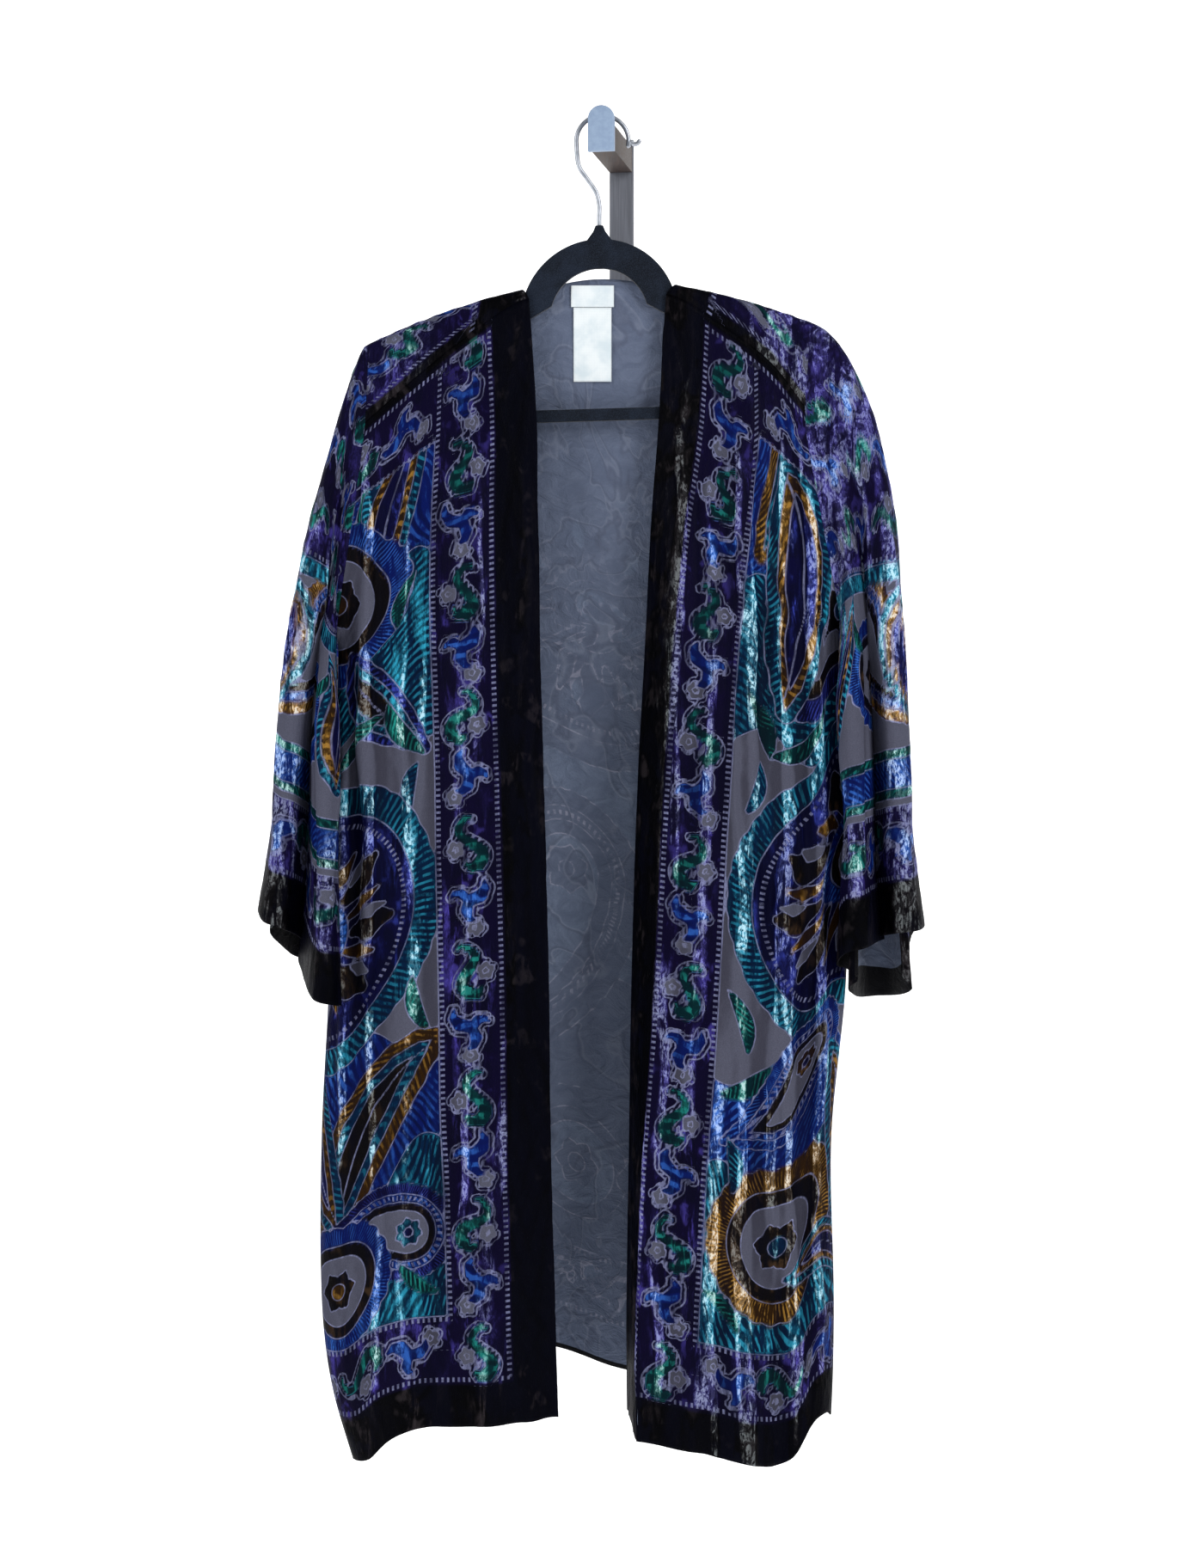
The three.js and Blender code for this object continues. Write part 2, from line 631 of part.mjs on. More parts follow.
// ---- Labels inside the back of the neck ----
function labelGrid(left, right, top, bottom) {
  const grid = [];
  const lines = 6;
  for (let row = 0; row <= lines; row += 1) {
    const down = lerp(top, bottom, row / lines);
    const line = [];
    for (let column = 0; column <= 4; column += 1) {
      const x = lerp(left, right, column / 4);
      const y = backDepth(x, down, angleOf(x, down)) - CLOTH - LABEL_GAP;
      line.push(new THREE.Vector3(x, y, -down));
    }
    grid.push(line);
  }
  return grid;
}

// ---- Hanger ----
function tilted(x, down) {
  return new THREE.Vector2(x, -down + HANGER_TILT * x);
}

function hangerHalf() {
  const points = [tilted(HANGER_PEAK.half, HANGER_PEAK.down)];
  points.push(tilted(HANGER_PEAK.foot, HANGER_ARCH.down - Math.sqrt(HANGER_ARCH.outer ** 2 - HANGER_PEAK.foot ** 2)));
  for (let degrees = 18; degrees <= HANGER_ARCH.end; degrees += 9) {
    const angle = THREE.MathUtils.degToRad(degrees);
    const { down, outer } = HANGER_ARCH;
    points.push(tilted(outer * Math.sin(angle), down - outer * Math.cos(angle)));
  }
  const armSteps = 9;
  for (let i = 0; i <= armSteps; i += 1) {
    const x = lerp(HANGER_ARM.start, HANGER_ARM.end, i / armSteps);
    points.push(tilted(x, armDown(x)));
  }
  const tip = new THREE.CubicBezierCurve(
    new THREE.Vector2(HANGER_ARM.end, armDown(HANGER_ARM.end)),
    new THREE.Vector2(HANGER_ARM.end + 8, armDown(HANGER_ARM.end) + 4),
    new THREE.Vector2(HANGER_TIP.x, HANGER_TIP.down - 16),
    new THREE.Vector2(HANGER_TIP.x, HANGER_TIP.down),
  );
  for (const t of [0.25, 0.5, 0.75, 1]) points.push(tilted(tip.getPoint(t).x, tip.getPoint(t).y));
  points.push(tilted(HANGER_TIP.x, 232));
  points.push(tilted(HANGER_TIP.x - 4, 242));
  points.push(tilted(HANGER_TIP.x - 12, HANGER_BAR.bottom));
  return points;
}

function hangerWindow() {
  const points = [];
  for (let degrees = 0; degrees <= 75; degrees += 15) {
    const angle = THREE.MathUtils.degToRad(degrees);
    const { down, inner } = HANGER_ARCH;
    points.push(tilted(inner * Math.sin(angle), down - inner * Math.cos(angle)));
  }
  const armSteps = 7;
  for (let i = 0; i <= armSteps; i += 1) {
    const x = lerp(56, 172, i / armSteps);
    points.push(tilted(x, armDown(x) + HANGER_ARM.deep));
  }
  points.push(tilted(181, 212));
  points.push(tilted(183, 222));
  points.push(tilted(180, 232));
  points.push(tilted(172, HANGER_BAR.top));
  return points;
}

// A half outline on the +X side, closed with its mirror image about the tilted middle line.
function mirroredOutline(half) {
  const other = half.map((p) => {
    const level = p.y - HANGER_TILT * p.x;
    return new THREE.Vector2(-p.x, level - HANGER_TILT * p.x);
  });
  const reversed = other.reverse();
  const first = half[0];
  return first.x === 0 ? [...half, ...reversed.slice(0, -1)] : [...half, ...reversed];
}

function hangerGeometry() {
  const shape = new THREE.Shape(mirroredOutline(hangerHalf()).reverse());
  shape.holes.push(new THREE.Path(mirroredOutline(hangerWindow())));
  const bevel = 1;
  const geometry = new THREE.ExtrudeGeometry(shape, {
    depth: HANGER_THICK - 2 * bevel,
    bevelThickness: bevel,
    bevelSize: bevel,
    bevelOffset: -bevel,
    bevelSegments: 1,
  });
  geometry.rotateX(Math.PI / 2);
  geometry.translate(0, HANGER_THICK / 2 - bevel, 0);
  return geometry;
}

function wireGeometry() {
  const { x, r } = LOOP;
  const centre = -r + WIRE_R;
  const points = [];
  const add = (px, pz) => points.push(new THREE.Vector3(px, 0, pz));
  add(0, -HANGER_PEAK.down + SEAM_GAP);
  add(0, -80);
  add(0, -71);
  add(-2.5, -61);
  add(-9, -51);
  add(-16.5, -39.5);
  for (let degrees = 190; degrees >= -10; degrees -= 20) {
    const angle = THREE.MathUtils.degToRad(degrees);
    add(x + r * Math.cos(angle), centre + r * Math.sin(angle));
  }
  add(26.2, -25.5);
  add(30.5, -23.5);
  add(33, -18);
  const round = new THREE.Shape();
  round.absarc(0, 0, WIRE_R, 0, 2 * Math.PI);
  return new THREE.ExtrudeGeometry(round, {
    curveSegments: 4,
    steps: 40,
    extrudePath: new THREE.CatmullRomCurve3(points, false, "centripetal"),
  });
}

// ---- Wall hook, along its own +Y, with the seat of the hanger's hook at zero ----
function roundTopped(wide, tall) {
  const r = wide / 2;
  const shape = new THREE.Shape();
  shape.moveTo(-r, -tall);
  shape.lineTo(r, -tall);
  shape.lineTo(r, -r);
  shape.absarc(0, -r, r, 0, Math.PI);
  shape.lineTo(-r, -tall);
  return shape;
}

function alongArm(shape, from, to) {
  const geometry = new THREE.ExtrudeGeometry(shape, {
    depth: to - from,
    bevelEnabled: false,
    curveSegments: 12,
  });
  geometry.rotateX(Math.PI / 2);
  geometry.translate(0, to, 0);
  return geometry;
}

function armGeometry() {
  const geometry = alongArm(roundTopped(ARM.wide, ARM.tall), ARM.front, ARM.back);
  geometry.translate(0, 0, -ARM_DROP);
  return geometry;
}

function capGeometry() {
  const back = ARM.front - SEAM_GAP;
  const geometry = alongArm(roundTopped(CAP.wide, CAP.tall), back - CAP.thick, back);
  geometry.translate(0, 0, CAP.top);
  return geometry;
}

function barGeometry() {
  const tall = BAR.bottom - BAR.top;
  const geometry = new THREE.BoxGeometry(BAR.wide, BAR.thick, tall);
  geometry.translate(0, WALL_FACE.along - BAR.thick / 2, -BAR.top - tall / 2);
  return geometry;
}

// ---- Assembly ----
const VELVET = { color: 0x1a1740, roughness: 0.55, metalness: 0 };
const WHITE_TAPE = { color: 0xe9ecec, roughness: 0.8, metalness: 0 };
const FLOCK = { color: 0x10161f, roughness: 0.95, metalness: 0 };
const CHROME = { color: 0xc8ccd2, roughness: 0.18, metalness: 1 };
const BRONZE = { color: 0x4a3a31, roughness: 0.45, metalness: 0.6 };
const STEEL = { color: 0x7d8085, roughness: 0.4, metalness: 0.8 };
const GREY_PAINT = { color: 0x8ea0b0, roughness: 0.5, metalness: 0 };

function named(name, geometry, finish) {
  const mesh = new THREE.Mesh(geometry, new THREE.MeshStandardMaterial(finish));
  mesh.name = name;
  return mesh;
}

// Down the side seams the cloth's cut edges face each other squarely.
const onBackSide = (row, column) => row <= ROWS_LOW && (column === 0 || column === BACK_COLUMNS);
const onFrontSide = (row, column) => row >= ROWS_FRONT_UP && column === ACROSS;

function garment() {
  const back = backGrid();
  const right = frontGrid(-1);
  const left = frontGrid(1);
  const sleeveRight = sleeveGrid(-1, back, right);
  const sleeveLeft = sleeveGrid(1, back, left);
  const group = new THREE.Group();
  group.add(
    named("back", wallGeometry(back, { present: onBack, square: onBackSide, flip: true }), VELVET),
    named("front_right", wallGeometry(right, { square: onFrontSide }), VELVET),
    named("front_left", wallGeometry(left, { square: onFrontSide, flip: true }), VELVET),
    named("sleeve_right", wallGeometry(sleeveRight, { closed: true }), VELVET),
    named("sleeve_left", wallGeometry(sleeveLeft, { closed: true, flip: true }), VELVET),
    named("neck_label", wallGeometry(labelGrid(-23, 12, 136, 153.6), { thick: LABEL }), WHITE_TAPE),
    named("care_label", wallGeometry(labelGrid(-21, 10, 154, 214), { thick: LABEL }), WHITE_TAPE),
  );
  return group;
}

function wallHook() {
  const group = new THREE.Group();
  group.add(
    named("hook_arm", armGeometry(), BRONZE),
    named("hook_cap", capGeometry(), GREY_PAINT),
    named("hook_bar", barGeometry(), STEEL),
  );
  group.position.set(HOOK_X, 0, 0);
  group.rotation.z = -HOOK_YAW;
  return group;
}

const hung = new THREE.Group();
hung.add(
  garment(),
  named("hanger", hangerGeometry(), FLOCK),
  named("hanger_hook", wireGeometry(), CHROME),
  wallHook(),
);
hung.position.set(
  -HOOK_X - WALL_FACE.along * Math.sin(HOOK_YAW),
  -WALL_FACE.along * Math.cos(HOOK_YAW),
  WALL_FACE.down,
);

const duster = new THREE.Group();
duster.add(hung);
export default duster;
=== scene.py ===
"""Looks of the open kimono duster: burn-out velvet on a flocked hanger, hung over a wall hook's arm.

Shapes are worked out in millimetres from the seat of the hanger's hook: X to the wearer's left,
-Y the garment's front, "down" the distance below the seat. They become metres in the row frame
when a mesh is made. The cloth's forms repeat the part's own tables, on finer grids. Only the
sleeves' inner edges differ below the armhole, where they hang nearer the body than the part's.
"""

import math

import bpy
import numpy as np
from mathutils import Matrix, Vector


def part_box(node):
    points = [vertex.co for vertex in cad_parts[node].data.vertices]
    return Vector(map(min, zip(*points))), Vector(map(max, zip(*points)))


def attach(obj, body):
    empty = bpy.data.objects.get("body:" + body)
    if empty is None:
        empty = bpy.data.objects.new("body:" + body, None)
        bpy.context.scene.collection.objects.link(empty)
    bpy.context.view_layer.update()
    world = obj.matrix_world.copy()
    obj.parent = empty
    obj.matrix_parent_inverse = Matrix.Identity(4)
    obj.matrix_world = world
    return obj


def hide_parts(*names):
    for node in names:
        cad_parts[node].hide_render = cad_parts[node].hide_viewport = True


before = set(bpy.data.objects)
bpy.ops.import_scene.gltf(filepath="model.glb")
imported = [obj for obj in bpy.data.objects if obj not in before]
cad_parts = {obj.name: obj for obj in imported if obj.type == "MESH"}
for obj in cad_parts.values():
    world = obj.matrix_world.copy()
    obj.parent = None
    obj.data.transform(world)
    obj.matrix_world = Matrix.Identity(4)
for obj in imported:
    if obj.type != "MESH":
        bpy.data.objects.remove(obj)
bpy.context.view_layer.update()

MM = 0.001
hanger_low, hanger_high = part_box("hanger")
bar_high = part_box("hook_bar")[1]
SEAT = np.array([(hanger_low.x + hanger_high.x) / 2, (hanger_low.y + hanger_high.y) / 2, bar_high.z])

# ---- Camera: level, square to the hanger, long side upright ----
CAMERA_AT = (-6.3, -2500.0, -542.5)
LENS = 70.5
SENSOR = 36.0


def add_camera():
    data = bpy.data.cameras.new("camera")
    data.lens = LENS
    data.sensor_width = SENSOR
    data.clip_start = 0.05
    data.clip_end = 50
    camera = bpy.data.objects.new("camera", data)
    bpy.context.scene.collection.objects.link(camera)
    camera.location = SEAT + np.array(CAMERA_AT) * MM
    camera.rotation_euler = (math.pi / 2, 0, 0)
    bpy.context.scene.camera = camera


add_camera()

# ---- Smooth tables: a row for each section, each column a named size ----


def cubic(t, span, start, end, start_slope, end_slope):
    """From start to end with the given slopes, while t goes from 0 to 1 over span."""
    return (
        (2 * t**3 - 3 * t**2 + 1) * start
        + (t**3 - 2 * t**2 + t) * span * start_slope
        + (3 * t**2 - 2 * t**3) * end
        + (t**3 - t**2) * span * end_slope
    )


def hermite(x, y):
    """A smooth curve through the points, held level past both ends."""
    x, y = np.array(x, float), np.array(y, float)
    before = np.maximum(np.arange(len(x)) - 1, 0)
    after = np.minimum(np.arange(len(x)) + 1, len(x) - 1)
    slope = (y[after] - y[before]) / (x[after] - x[before])

    def at(value):
        value = np.clip(value, x[0], x[-1])
        i = np.clip(np.searchsorted(x, value, side="right") - 1, 0, len(x) - 2)
        span = x[i + 1] - x[i]
        return cubic((value - x[i]) / span, span, y[i], y[i + 1], slope[i], slope[i + 1])

    return at


class Table:
    def __init__(self, names, *rows):
        names = names.split()
        columns = list(zip(*rows))
        for name, column in zip(names[1:], columns[1:]):
            setattr(self, name, hermite(columns[0], column))


def mix(a, b, t):
    return a + (b - a) * t


def smooth(t):
    t = np.clip(t, 0, 1)
    return t * t * (3 - 2 * t)


# The body's sections: its sides, the fronts' edges and the right band's end, half depths in front
# and behind, and how far the left front's edge curls in.
BODY = Table(
    "down left right left_edge right_edge right_band front_left front_right back curl",
    (120, -187, 172, -59, 56, 74, 9, 10, 9, 0),
    (180, -187, 171, -55, 52, 75, 12, 14, 12, 1),
    (250, -190, 167, -51, 48, 70, 16, 19, 16, 10),
    (330, -200, 180, -50, 42, 64, 20, 24, 21, 19),
    (430, -214, 198, -48, 37, 58, 25, 30, 27, 25),
    (540, -218, 203, -45, 31, 52, 28, 33, 31, 27),
    (700, -220, 201, -41, 26, 45, 31, 36, 36, 29),
    (830, -226, 189, -39, 24, 36, 33, 39, 40, 32),
    (960, -226, 191, -36, 22, 30, 34, 41, 43, 33),
    (1030, -218, 190, -34, 22, 29, 34, 42, 44, 33),
    (1100, -198, 186, -32, 23, 30, 33, 42, 44, 32),
)
# The slanting seam where a shoulder flap of the back meets a front.
FLAP_SEAM = Table(
    "x down",
    (-190, 249),
    (-150, 213),
    (-105, 177),
    (-60, 149),
    (0, 149),
    (56, 145),
    (100, 170),
    (140, 201),
    (168, 238),
)
HEM_RIGHT_FRONT = Table(
    "share down", (0, 1051), (0.3, 1059), (0.5, 1063), (0.62, 1074), (0.75, 1089), (1, 1092)
)
HEM_LEFT_FRONT = Table(
    "share down",
    *((0, 1050), (0.16, 1067), (0.35, 1078), (0.56, 1091), (0.66, 1086), (0.78, 1056), (1, 1052)),
)
HEM_BACK = Table(
    "share down", (0, 1092), (0.15, 1076), (0.42, 1006), (0.55, 1026), (0.75, 1050), (1, 1056)
)

# Folds: x at the top and at the bottom, half width, height, and the two downs they run between.
FRONT_FOLDS = (
    (-187, -184, 10, 7, 215, 780),
    (-199, -197, 8, -4, 300, 800),
    (-209, -212, 9, 5, 380, 760),
    (-110, -113, 14, 4, 250, 620),
    (-128, -140, 15, -3, 380, 800),
    (-150, -166, 17, 6, 560, 1120),
    (-118, -132, 14, -5, 800, 1130),
    (-84, -94, 16, 4, 760, 1130),
    (100, 62, 11, 4, 240, 1050),
    (122, 127, 11, 7, 215, 640),
    (143, 147, 9, -5, 230, 620),
    (160, 184, 11, 8, 205, 640),
    (152, 149, 12, 6, 560, 860),
    (170, 166, 9, -6, 620, 1000),
    (104, 74, 12, 6, 700, 1130),
    (112, 120, 13, 8, 860, 1140),
    (138, 148, 10, -7, 880, 1140),
)
# Narrower creases pressed in the fronts' cloth, in the columns of FRONT_FOLDS.
FRONT_CREASES = (
    (-189, -189, 4.5, 4.6, 236, 720),
    (-176, -180, 5.0, -3.6, 280, 760),
    (-158, -156, 4.0, 2.4, 260, 640),
    (-142, -150, 5.0, 2.0, 380, 760),
    (-96, -98, 4.0, 1.8, 230, 560),
    (-206, -210, 4.5, 4.2, 470, 900),
    (-184, -178, 5.0, 2.6, 640, 1060),
    (-132, -128, 5.5, -2.2, 700, 1040),
    (-106, -112, 4.5, 2.2, 620, 980),
    (-72, -78, 5.0, 1.8, 520, 900),
    (-58, -52, 4.0, -1.6, 240, 700),
    (68, 58, 4.0, 2.6, 200, 760),
    (84, 74, 5.0, -2.4, 220, 700),
    (112, 110, 4.5, 4.6, 222, 660),
    (129, 134, 5.0, -4.4, 232, 700),
    (145, 149, 4.5, 4.8, 236, 720),
    (156, 168, 4.5, -4.0, 230, 660),
    (170, 181, 4.5, 4.2, 280, 760),
    (120, 108, 5.0, 2.8, 560, 980),
    (142, 136, 4.5, 4.0, 640, 1020),
    (160, 168, 5.0, -2.6, 680, 1060),
    (178, 176, 4.5, 4.0, 620, 1040),
    (52, 44, 4.5, 2.4, 620, 1120),
    (88, 92, 5.0, 2.6, 780, 1130),
    (126, 130, 4.0, -2.2, 820, 1130),
)
# Place round the sleeve, height, and the shares of the sleeve's length they run between.
SLEEVE_CREASES = (
    (0.06, 3.0, 0.2, 0.9),
    (0.16, 2.4, 0.1, 0.6),
    (0.27, 3.2, 0.3, 1.0),
    (0.37, -2.4, 0.25, 0.9),
    (0.44, 2.6, 0.35, 1.0),
    (0.56, 2.6, 0.15, 0.8),
    (0.66, -2.4, 0.3, 1.0),
    (0.76, 2.8, 0.2, 0.9),
    (0.88, 2.4, 0.3, 1.0),
    (0.95, -2.2, 0.15, 0.7),
)
# In the columns of FRONT_FOLDS.
BACK_FOLDS = (
    (-165, -176, 14, 5, 330, 1130),
    (-128, -134, 15, -4, 300, 1130),
    (-92, -96, 17, 6, 420, 1130),
    (-48, -52, 16, -4, 380, 1080),
    (-12, -18, 18, 5, 500, 1100),
    (26, 30, 15, -4, 450, 1100),
    (66, 72, 17, 6, 340, 1130),
    (108, 114, 14, -5, 400, 1130),
    (146, 154, 15, 5, 300, 1130),
)
# By share of the sleeve's length: its outer and inner lines, half thickness and depth of pleats.
SLEEVE_COLUMNS = "share outer_x outer_y outer_down inner_x inner_y inner_down deep pleat"
SLEEVE_RIGHT = Table(
    SLEEVE_COLUMNS,
    (0, -187, 0, 185, -214, 0, 430, 15, 0),
    (0.06, -198, 0, 200, -213, -5, 436, 13, 0),
    (0.14, -207, 0, 227, -212, -12, 446, 11, 2),
    (0.25, -219, 0, 272, -213, -16, 462, 10, 6),
    (0.4, -236, 1, 347, -213, -19, 492, 9, 13),
    (0.55, -248, 2, 421, -213, -20, 540, 8, 19),
    (0.7, -257, 3, 497, -213, -20, 590, 6, 23),
    (0.85, -264, 4, 570, -211, -22, 655, 6, 25),
    (1, -275, 5, 640, -210, -23, 718, 7, 26),
)
SLEEVE_LEFT = Table(
    SLEEVE_COLUMNS,
    (0, 172, 0, 167, 198, 0, 412, 15, 0),
    (0.06, 194, 0, 173, 195, -5, 419, 13, 0),
    (0.14, 211, 0, 196, 194, -12, 430, 11, 2),
    (0.25, 224, 0, 245, 194, -16, 448, 10, 6),
    (0.4, 238, 1, 325, 193, -19, 480, 9, 12),
    (0.55, 243, 2, 410, 196, -20, 526, 7, 18),
    (0.7, 247, 3, 495, 199, -20, 575, 6, 22),
    (0.85, 252, 4, 575, 196, -22, 635, 7, 23),
    (1, 261, 4, 655, 194, -23, 690, 9, 23),
)
# How far the cuff's edge hangs under the sleeve's last row, by place round it.
CUFF_RIGHT = Table(
    "turn drop", (0, 0), (0.1, 2), (0.2, -2), (0.32, 8), (0.42, 12), (0.5, 4), (0.75, 8), (1, 0)
)
CUFF_LEFT = Table(
    "turn drop",
    *((0, 0), (0.12, 0), (0.25, -4), (0.4, -10), (0.5, 0), (0.62, 28), (0.75, 44), (0.92, 40), (1, 0)),
)

# ---- Sizes: the part's own, but for the cloth's wall and half the gap at a seam, both finer ----
CLOTH = 1.2
SEAM = 0.08
CAD_CLOTH = 1.6
SEAT_LIFT = 1.1
RIDGE_R = 6.5
NECK_HALF, NECK_RISE = 64, 14
SHOULDER = {-1: -187, 1: 172}
UNDERARM = {-1: 430, 1: 412}
ARMHOLE_SPREAD, ARMHOLE_ROUND = 50, 130
DRAPE_START = 150
BAND = 35
BAND_SHARE = 3 / 16
HANGER_TILT = 0.03
ARM_ZERO, ARM_LEVEL, ARM_SLOPE, ARM_BOW = 62, 140.5, 0.184, 0.00113
ARM_REACH = 190
BACK_BLEND, BACK_BLEND_REACH = 190, 240
ROUNDING = 1e-6
FIRST_GUESS, LOOK_UPS = 190.0, 12
FOLD_END, CREASE_END = 0.25, 0.2
PLEATS = 3


def arm_down(x):
    """The top of the hanger's arms, without the hanger's tilt."""
    u = np.abs(x) - ARM_ZERO
    return ARM_LEVEL + ARM_SLOPE * u + ARM_BOW * u * u


def ridge_down(x):
    """The cloth's ridge: over the arms, and a little higher across the neck."""
    half = np.abs(x)
    rise = np.where(half < NECK_HALF, NECK_RISE * (1 - (half / NECK_HALF) ** 2), 0)
    level = arm_down(np.clip(half, NECK_HALF, ARM_REACH))
    return level - rise - HANGER_TILT * x - (SEAT_LIFT + CAD_CLOTH)


def side_x(side, down):
    return BODY.left(down) if side < 0 else BODY.right(down)


def section(down):
    """Middle and half width of the body's oval, drawn wider above the underarms."""
    edges = []
    for side in (-1, 1):
        t = np.clip((down - UNDERARM[side] + ARMHOLE_ROUND) / ARMHOLE_ROUND, 0, 1)
        edges.append(side_x(side, down) + side * ARMHOLE_SPREAD * (1 - t * t))
    return (edges[0] + edges[1]) / 2, (edges[1] - edges[0]) / 2


def angle_of(x, down):
    centre, half = section(down)
    return np.arcsin(np.clip((x - centre) / half, -1, 1))


def x_of(angle, down):
    centre, half = section(down)
    return centre + half * np.sin(angle)


def fold_height(folds, x, down, angle):
    """How far the folds stand out. They die away toward the body's sides."""
    total = np.zeros(np.broadcast(x, down).shape)
    for top_x, low_x, wide, height, top, bottom in folds:
        t = (down - top) / (bottom - top)
        at = mix(top_x, low_x, np.clip(t, 0, 1))
        fade = smooth(t / FOLD_END) * smooth((1 - t) / FOLD_END)
        total = total + height * fade * np.exp(-(((x - at) / wide) ** 2))
    return total * np.clip(2.4 * np.cos(angle), 0, 1)


def crease_height(x, down):
    total = np.zeros(x.shape)
    for top_x, low_x, wide, height, top, bottom in FRONT_CREASES:
        t = (down - top) / (bottom - top)
        at = mix(top_x, low_x, np.clip(t, 0, 1))
        at = at + 2.2 * np.sin(down / 41 + top_x) + 1.2 * np.sin(down / 17 + low_x)
        uneven = 0.75 + 0.35 * np.sin(down / 33 + 2 * top_x)
        fade = smooth(t / CREASE_END) * smooth((1 - t) / CREASE_END) * uneven
        total = total + height * fade * np.exp(-(((x - at) / wide) ** 2))
    return total


def depth_at(x, down, angle, full, folds):
    """The body's half depth: as thin as the ridge at the top, the full oval with folds lower down."""
    grown = smooth((down - ridge_down(x) - RIDGE_R) / DRAPE_START)
    rounded = np.cos(angle) * np.sqrt(1 + np.sin(angle) ** 2)
    return mix(RIDGE_R, full * rounded + fold_height(folds, x, down, angle), grown)


def front_depth(x, down, angle):
    full = mix(BODY.front_left(down), BODY.front_right(down), smooth((x + 40) / 80))
    return depth_at(x, down, angle, full, FRONT_FOLDS)


def front_x(side, share, down):
    edge = BODY.left_edge(down) if side < 0 else BODY.right_edge(down)
    band = BODY.left_edge(down) - BAND if side < 0 else BODY.right_band(down)
    start, end = angle_of(band, down), angle_of(side_x(side, down), down)
    field = x_of(mix(start, end, (share - BAND_SHARE) / (1 - BAND_SHARE)), down)
    return np.where(share < BAND_SHARE, mix(edge, band, share / BAND_SHARE), field)


def front_top(side, share):
    """Where a front's column meets the flap's seam, found by repeated look-up."""
    down = np.full(np.shape(share), FIRST_GUESS)
    for _ in range(LOOK_UPS):
        down = FLAP_SEAM.down(front_x(side, share, down))
    return down


# ---- Fine grids ----
BAND_CELLS, FIELD_CELLS = 28, 116
FRONT_UP, FRONT_LOW = 60, 230
BACK_CELLS, CAD_BACK_CELLS, CAD_SIDE_CELLS, CAD_NECK_CELLS = 160, 40, 16, 8
BACK_LOW, BACK_UP, BEND, FLAP = 190, 66, 8, 26
SLEEVE_ROWS = 150
UNDERARM_ROWS, UNDERARM_PASSES, UNDERARM_REACH = 9.0, 3, 3
# The CAD's own cells round an armhole: up the back, over the bend, down the flap and the front.
CAD_UP, CAD_BEND, CAD_FLAP, CAD_FRONT = 8, 3, 7, 6
# The share of a sleeve that lies along the armhole, and the share over which it then comes free.
AT_ARMHOLE, TO_FREE = 0.03, 0.25
SLEEVE_CREASE_HALF = 0.014


def front_grid(side):
    inner = np.linspace(0, BAND_SHARE, BAND_CELLS + 1)
    outer = np.linspace(BAND_SHARE, 1, FIELD_CELLS + 1)[1:]
    share = np.concatenate([inner, outer])[None, :]
    hem = (HEM_RIGHT_FRONT if side < 0 else HEM_LEFT_FRONT).down(share)
    hem = hem + 1.3 * np.sin(29 * share + 2 * side) * np.sin(17 * share) * (1 - share)
    top = front_top(side, share) + SEAM
    up = mix(top, UNDERARM[side], np.linspace(0, 1, FRONT_UP + 1)[:, None])
    low = mix(UNDERARM[side], hem, np.linspace(0, 1, FRONT_LOW + 1)[1:, None])
    down = np.concatenate([up, low])
    x = front_x(side, share, down)
    turned = np.clip(1 - share / BAND_SHARE, 0, 1) if side > 0 else np.zeros_like(share)
    y = -front_depth(x, down, angle_of(x, down)) + BODY.curl(down) * turned**1.4
    y = np.minimum(y, -SEAM)
    on_seam = (share >= 1) & (down >= UNDERARM[side] - ROUNDING)
    grid = np.stack([x, np.where(on_seam, -SEAM, y), -down], -1)
    near = np.exp(-(((np.arange(len(grid)) - FRONT_UP) / UNDERARM_ROWS) ** 2))[:, None]
    near = near * smooth((1 - share) / 0.12)
    for _ in range(UNDERARM_PASSES):
        soft = blurred(grid, UNDERARM_REACH, 0)
        grid[..., :2] = mix(grid[..., :2], soft[..., :2], near[..., None])
    return grid


def ridge_x(column):
    left = mix(SHOULDER[-1], -NECK_HALF, column / CAD_SIDE_CELLS)
    neck = mix(-NECK_HALF, NECK_HALF, (column - CAD_SIDE_CELLS) / CAD_NECK_CELLS)
    start = CAD_SIDE_CELLS + CAD_NECK_CELLS
    right = mix(NECK_HALF, SHOULDER[1], (column - start) / CAD_SIDE_CELLS)
    return np.where(column < CAD_SIDE_CELLS, left, np.where(column > start, right, neck))


def seam_x(column):
    left_share = np.clip(1 - column / CAD_SIDE_CELLS, 0, 1)
    right_share = np.clip((column - CAD_SIDE_CELLS - CAD_NECK_CELLS) / CAD_SIDE_CELLS, 0, 1)
    left = front_x(-1, left_share, front_top(-1, left_share))
    right = front_x(1, right_share, front_top(1, right_share))
    return np.where(column <= CAD_SIDE_CELLS, left, right)


def back_body(column, down):
    start = angle_of(side_x(-1, down), down)
    end = angle_of(side_x(1, down), down)
    low = mix(start, end, column / CAD_BACK_CELLS)
    fit = angle_of(ridge_x(column) + 0 * down, down)
    fit = np.where(column <= 0, start, np.where(column >= CAD_BACK_CELLS, end, fit))
    x = x_of(mix(np.clip(fit, start, end), low, smooth((down - BACK_BLEND) / BACK_BLEND_REACH)), down)
    angle = angle_of(x, down)
    y = np.maximum(depth_at(x, down, angle, BODY.back(down), BACK_FOLDS), SEAM)
    under = np.where(column < CAD_BACK_CELLS / 2, UNDERARM[-1], UNDERARM[1])
    on_seam = ((column <= 0) | (column >= CAD_BACK_CELLS)) & (down >= under - ROUNDING)
    return np.stack([x, np.where(on_seam, SEAM, y), -down], -1)


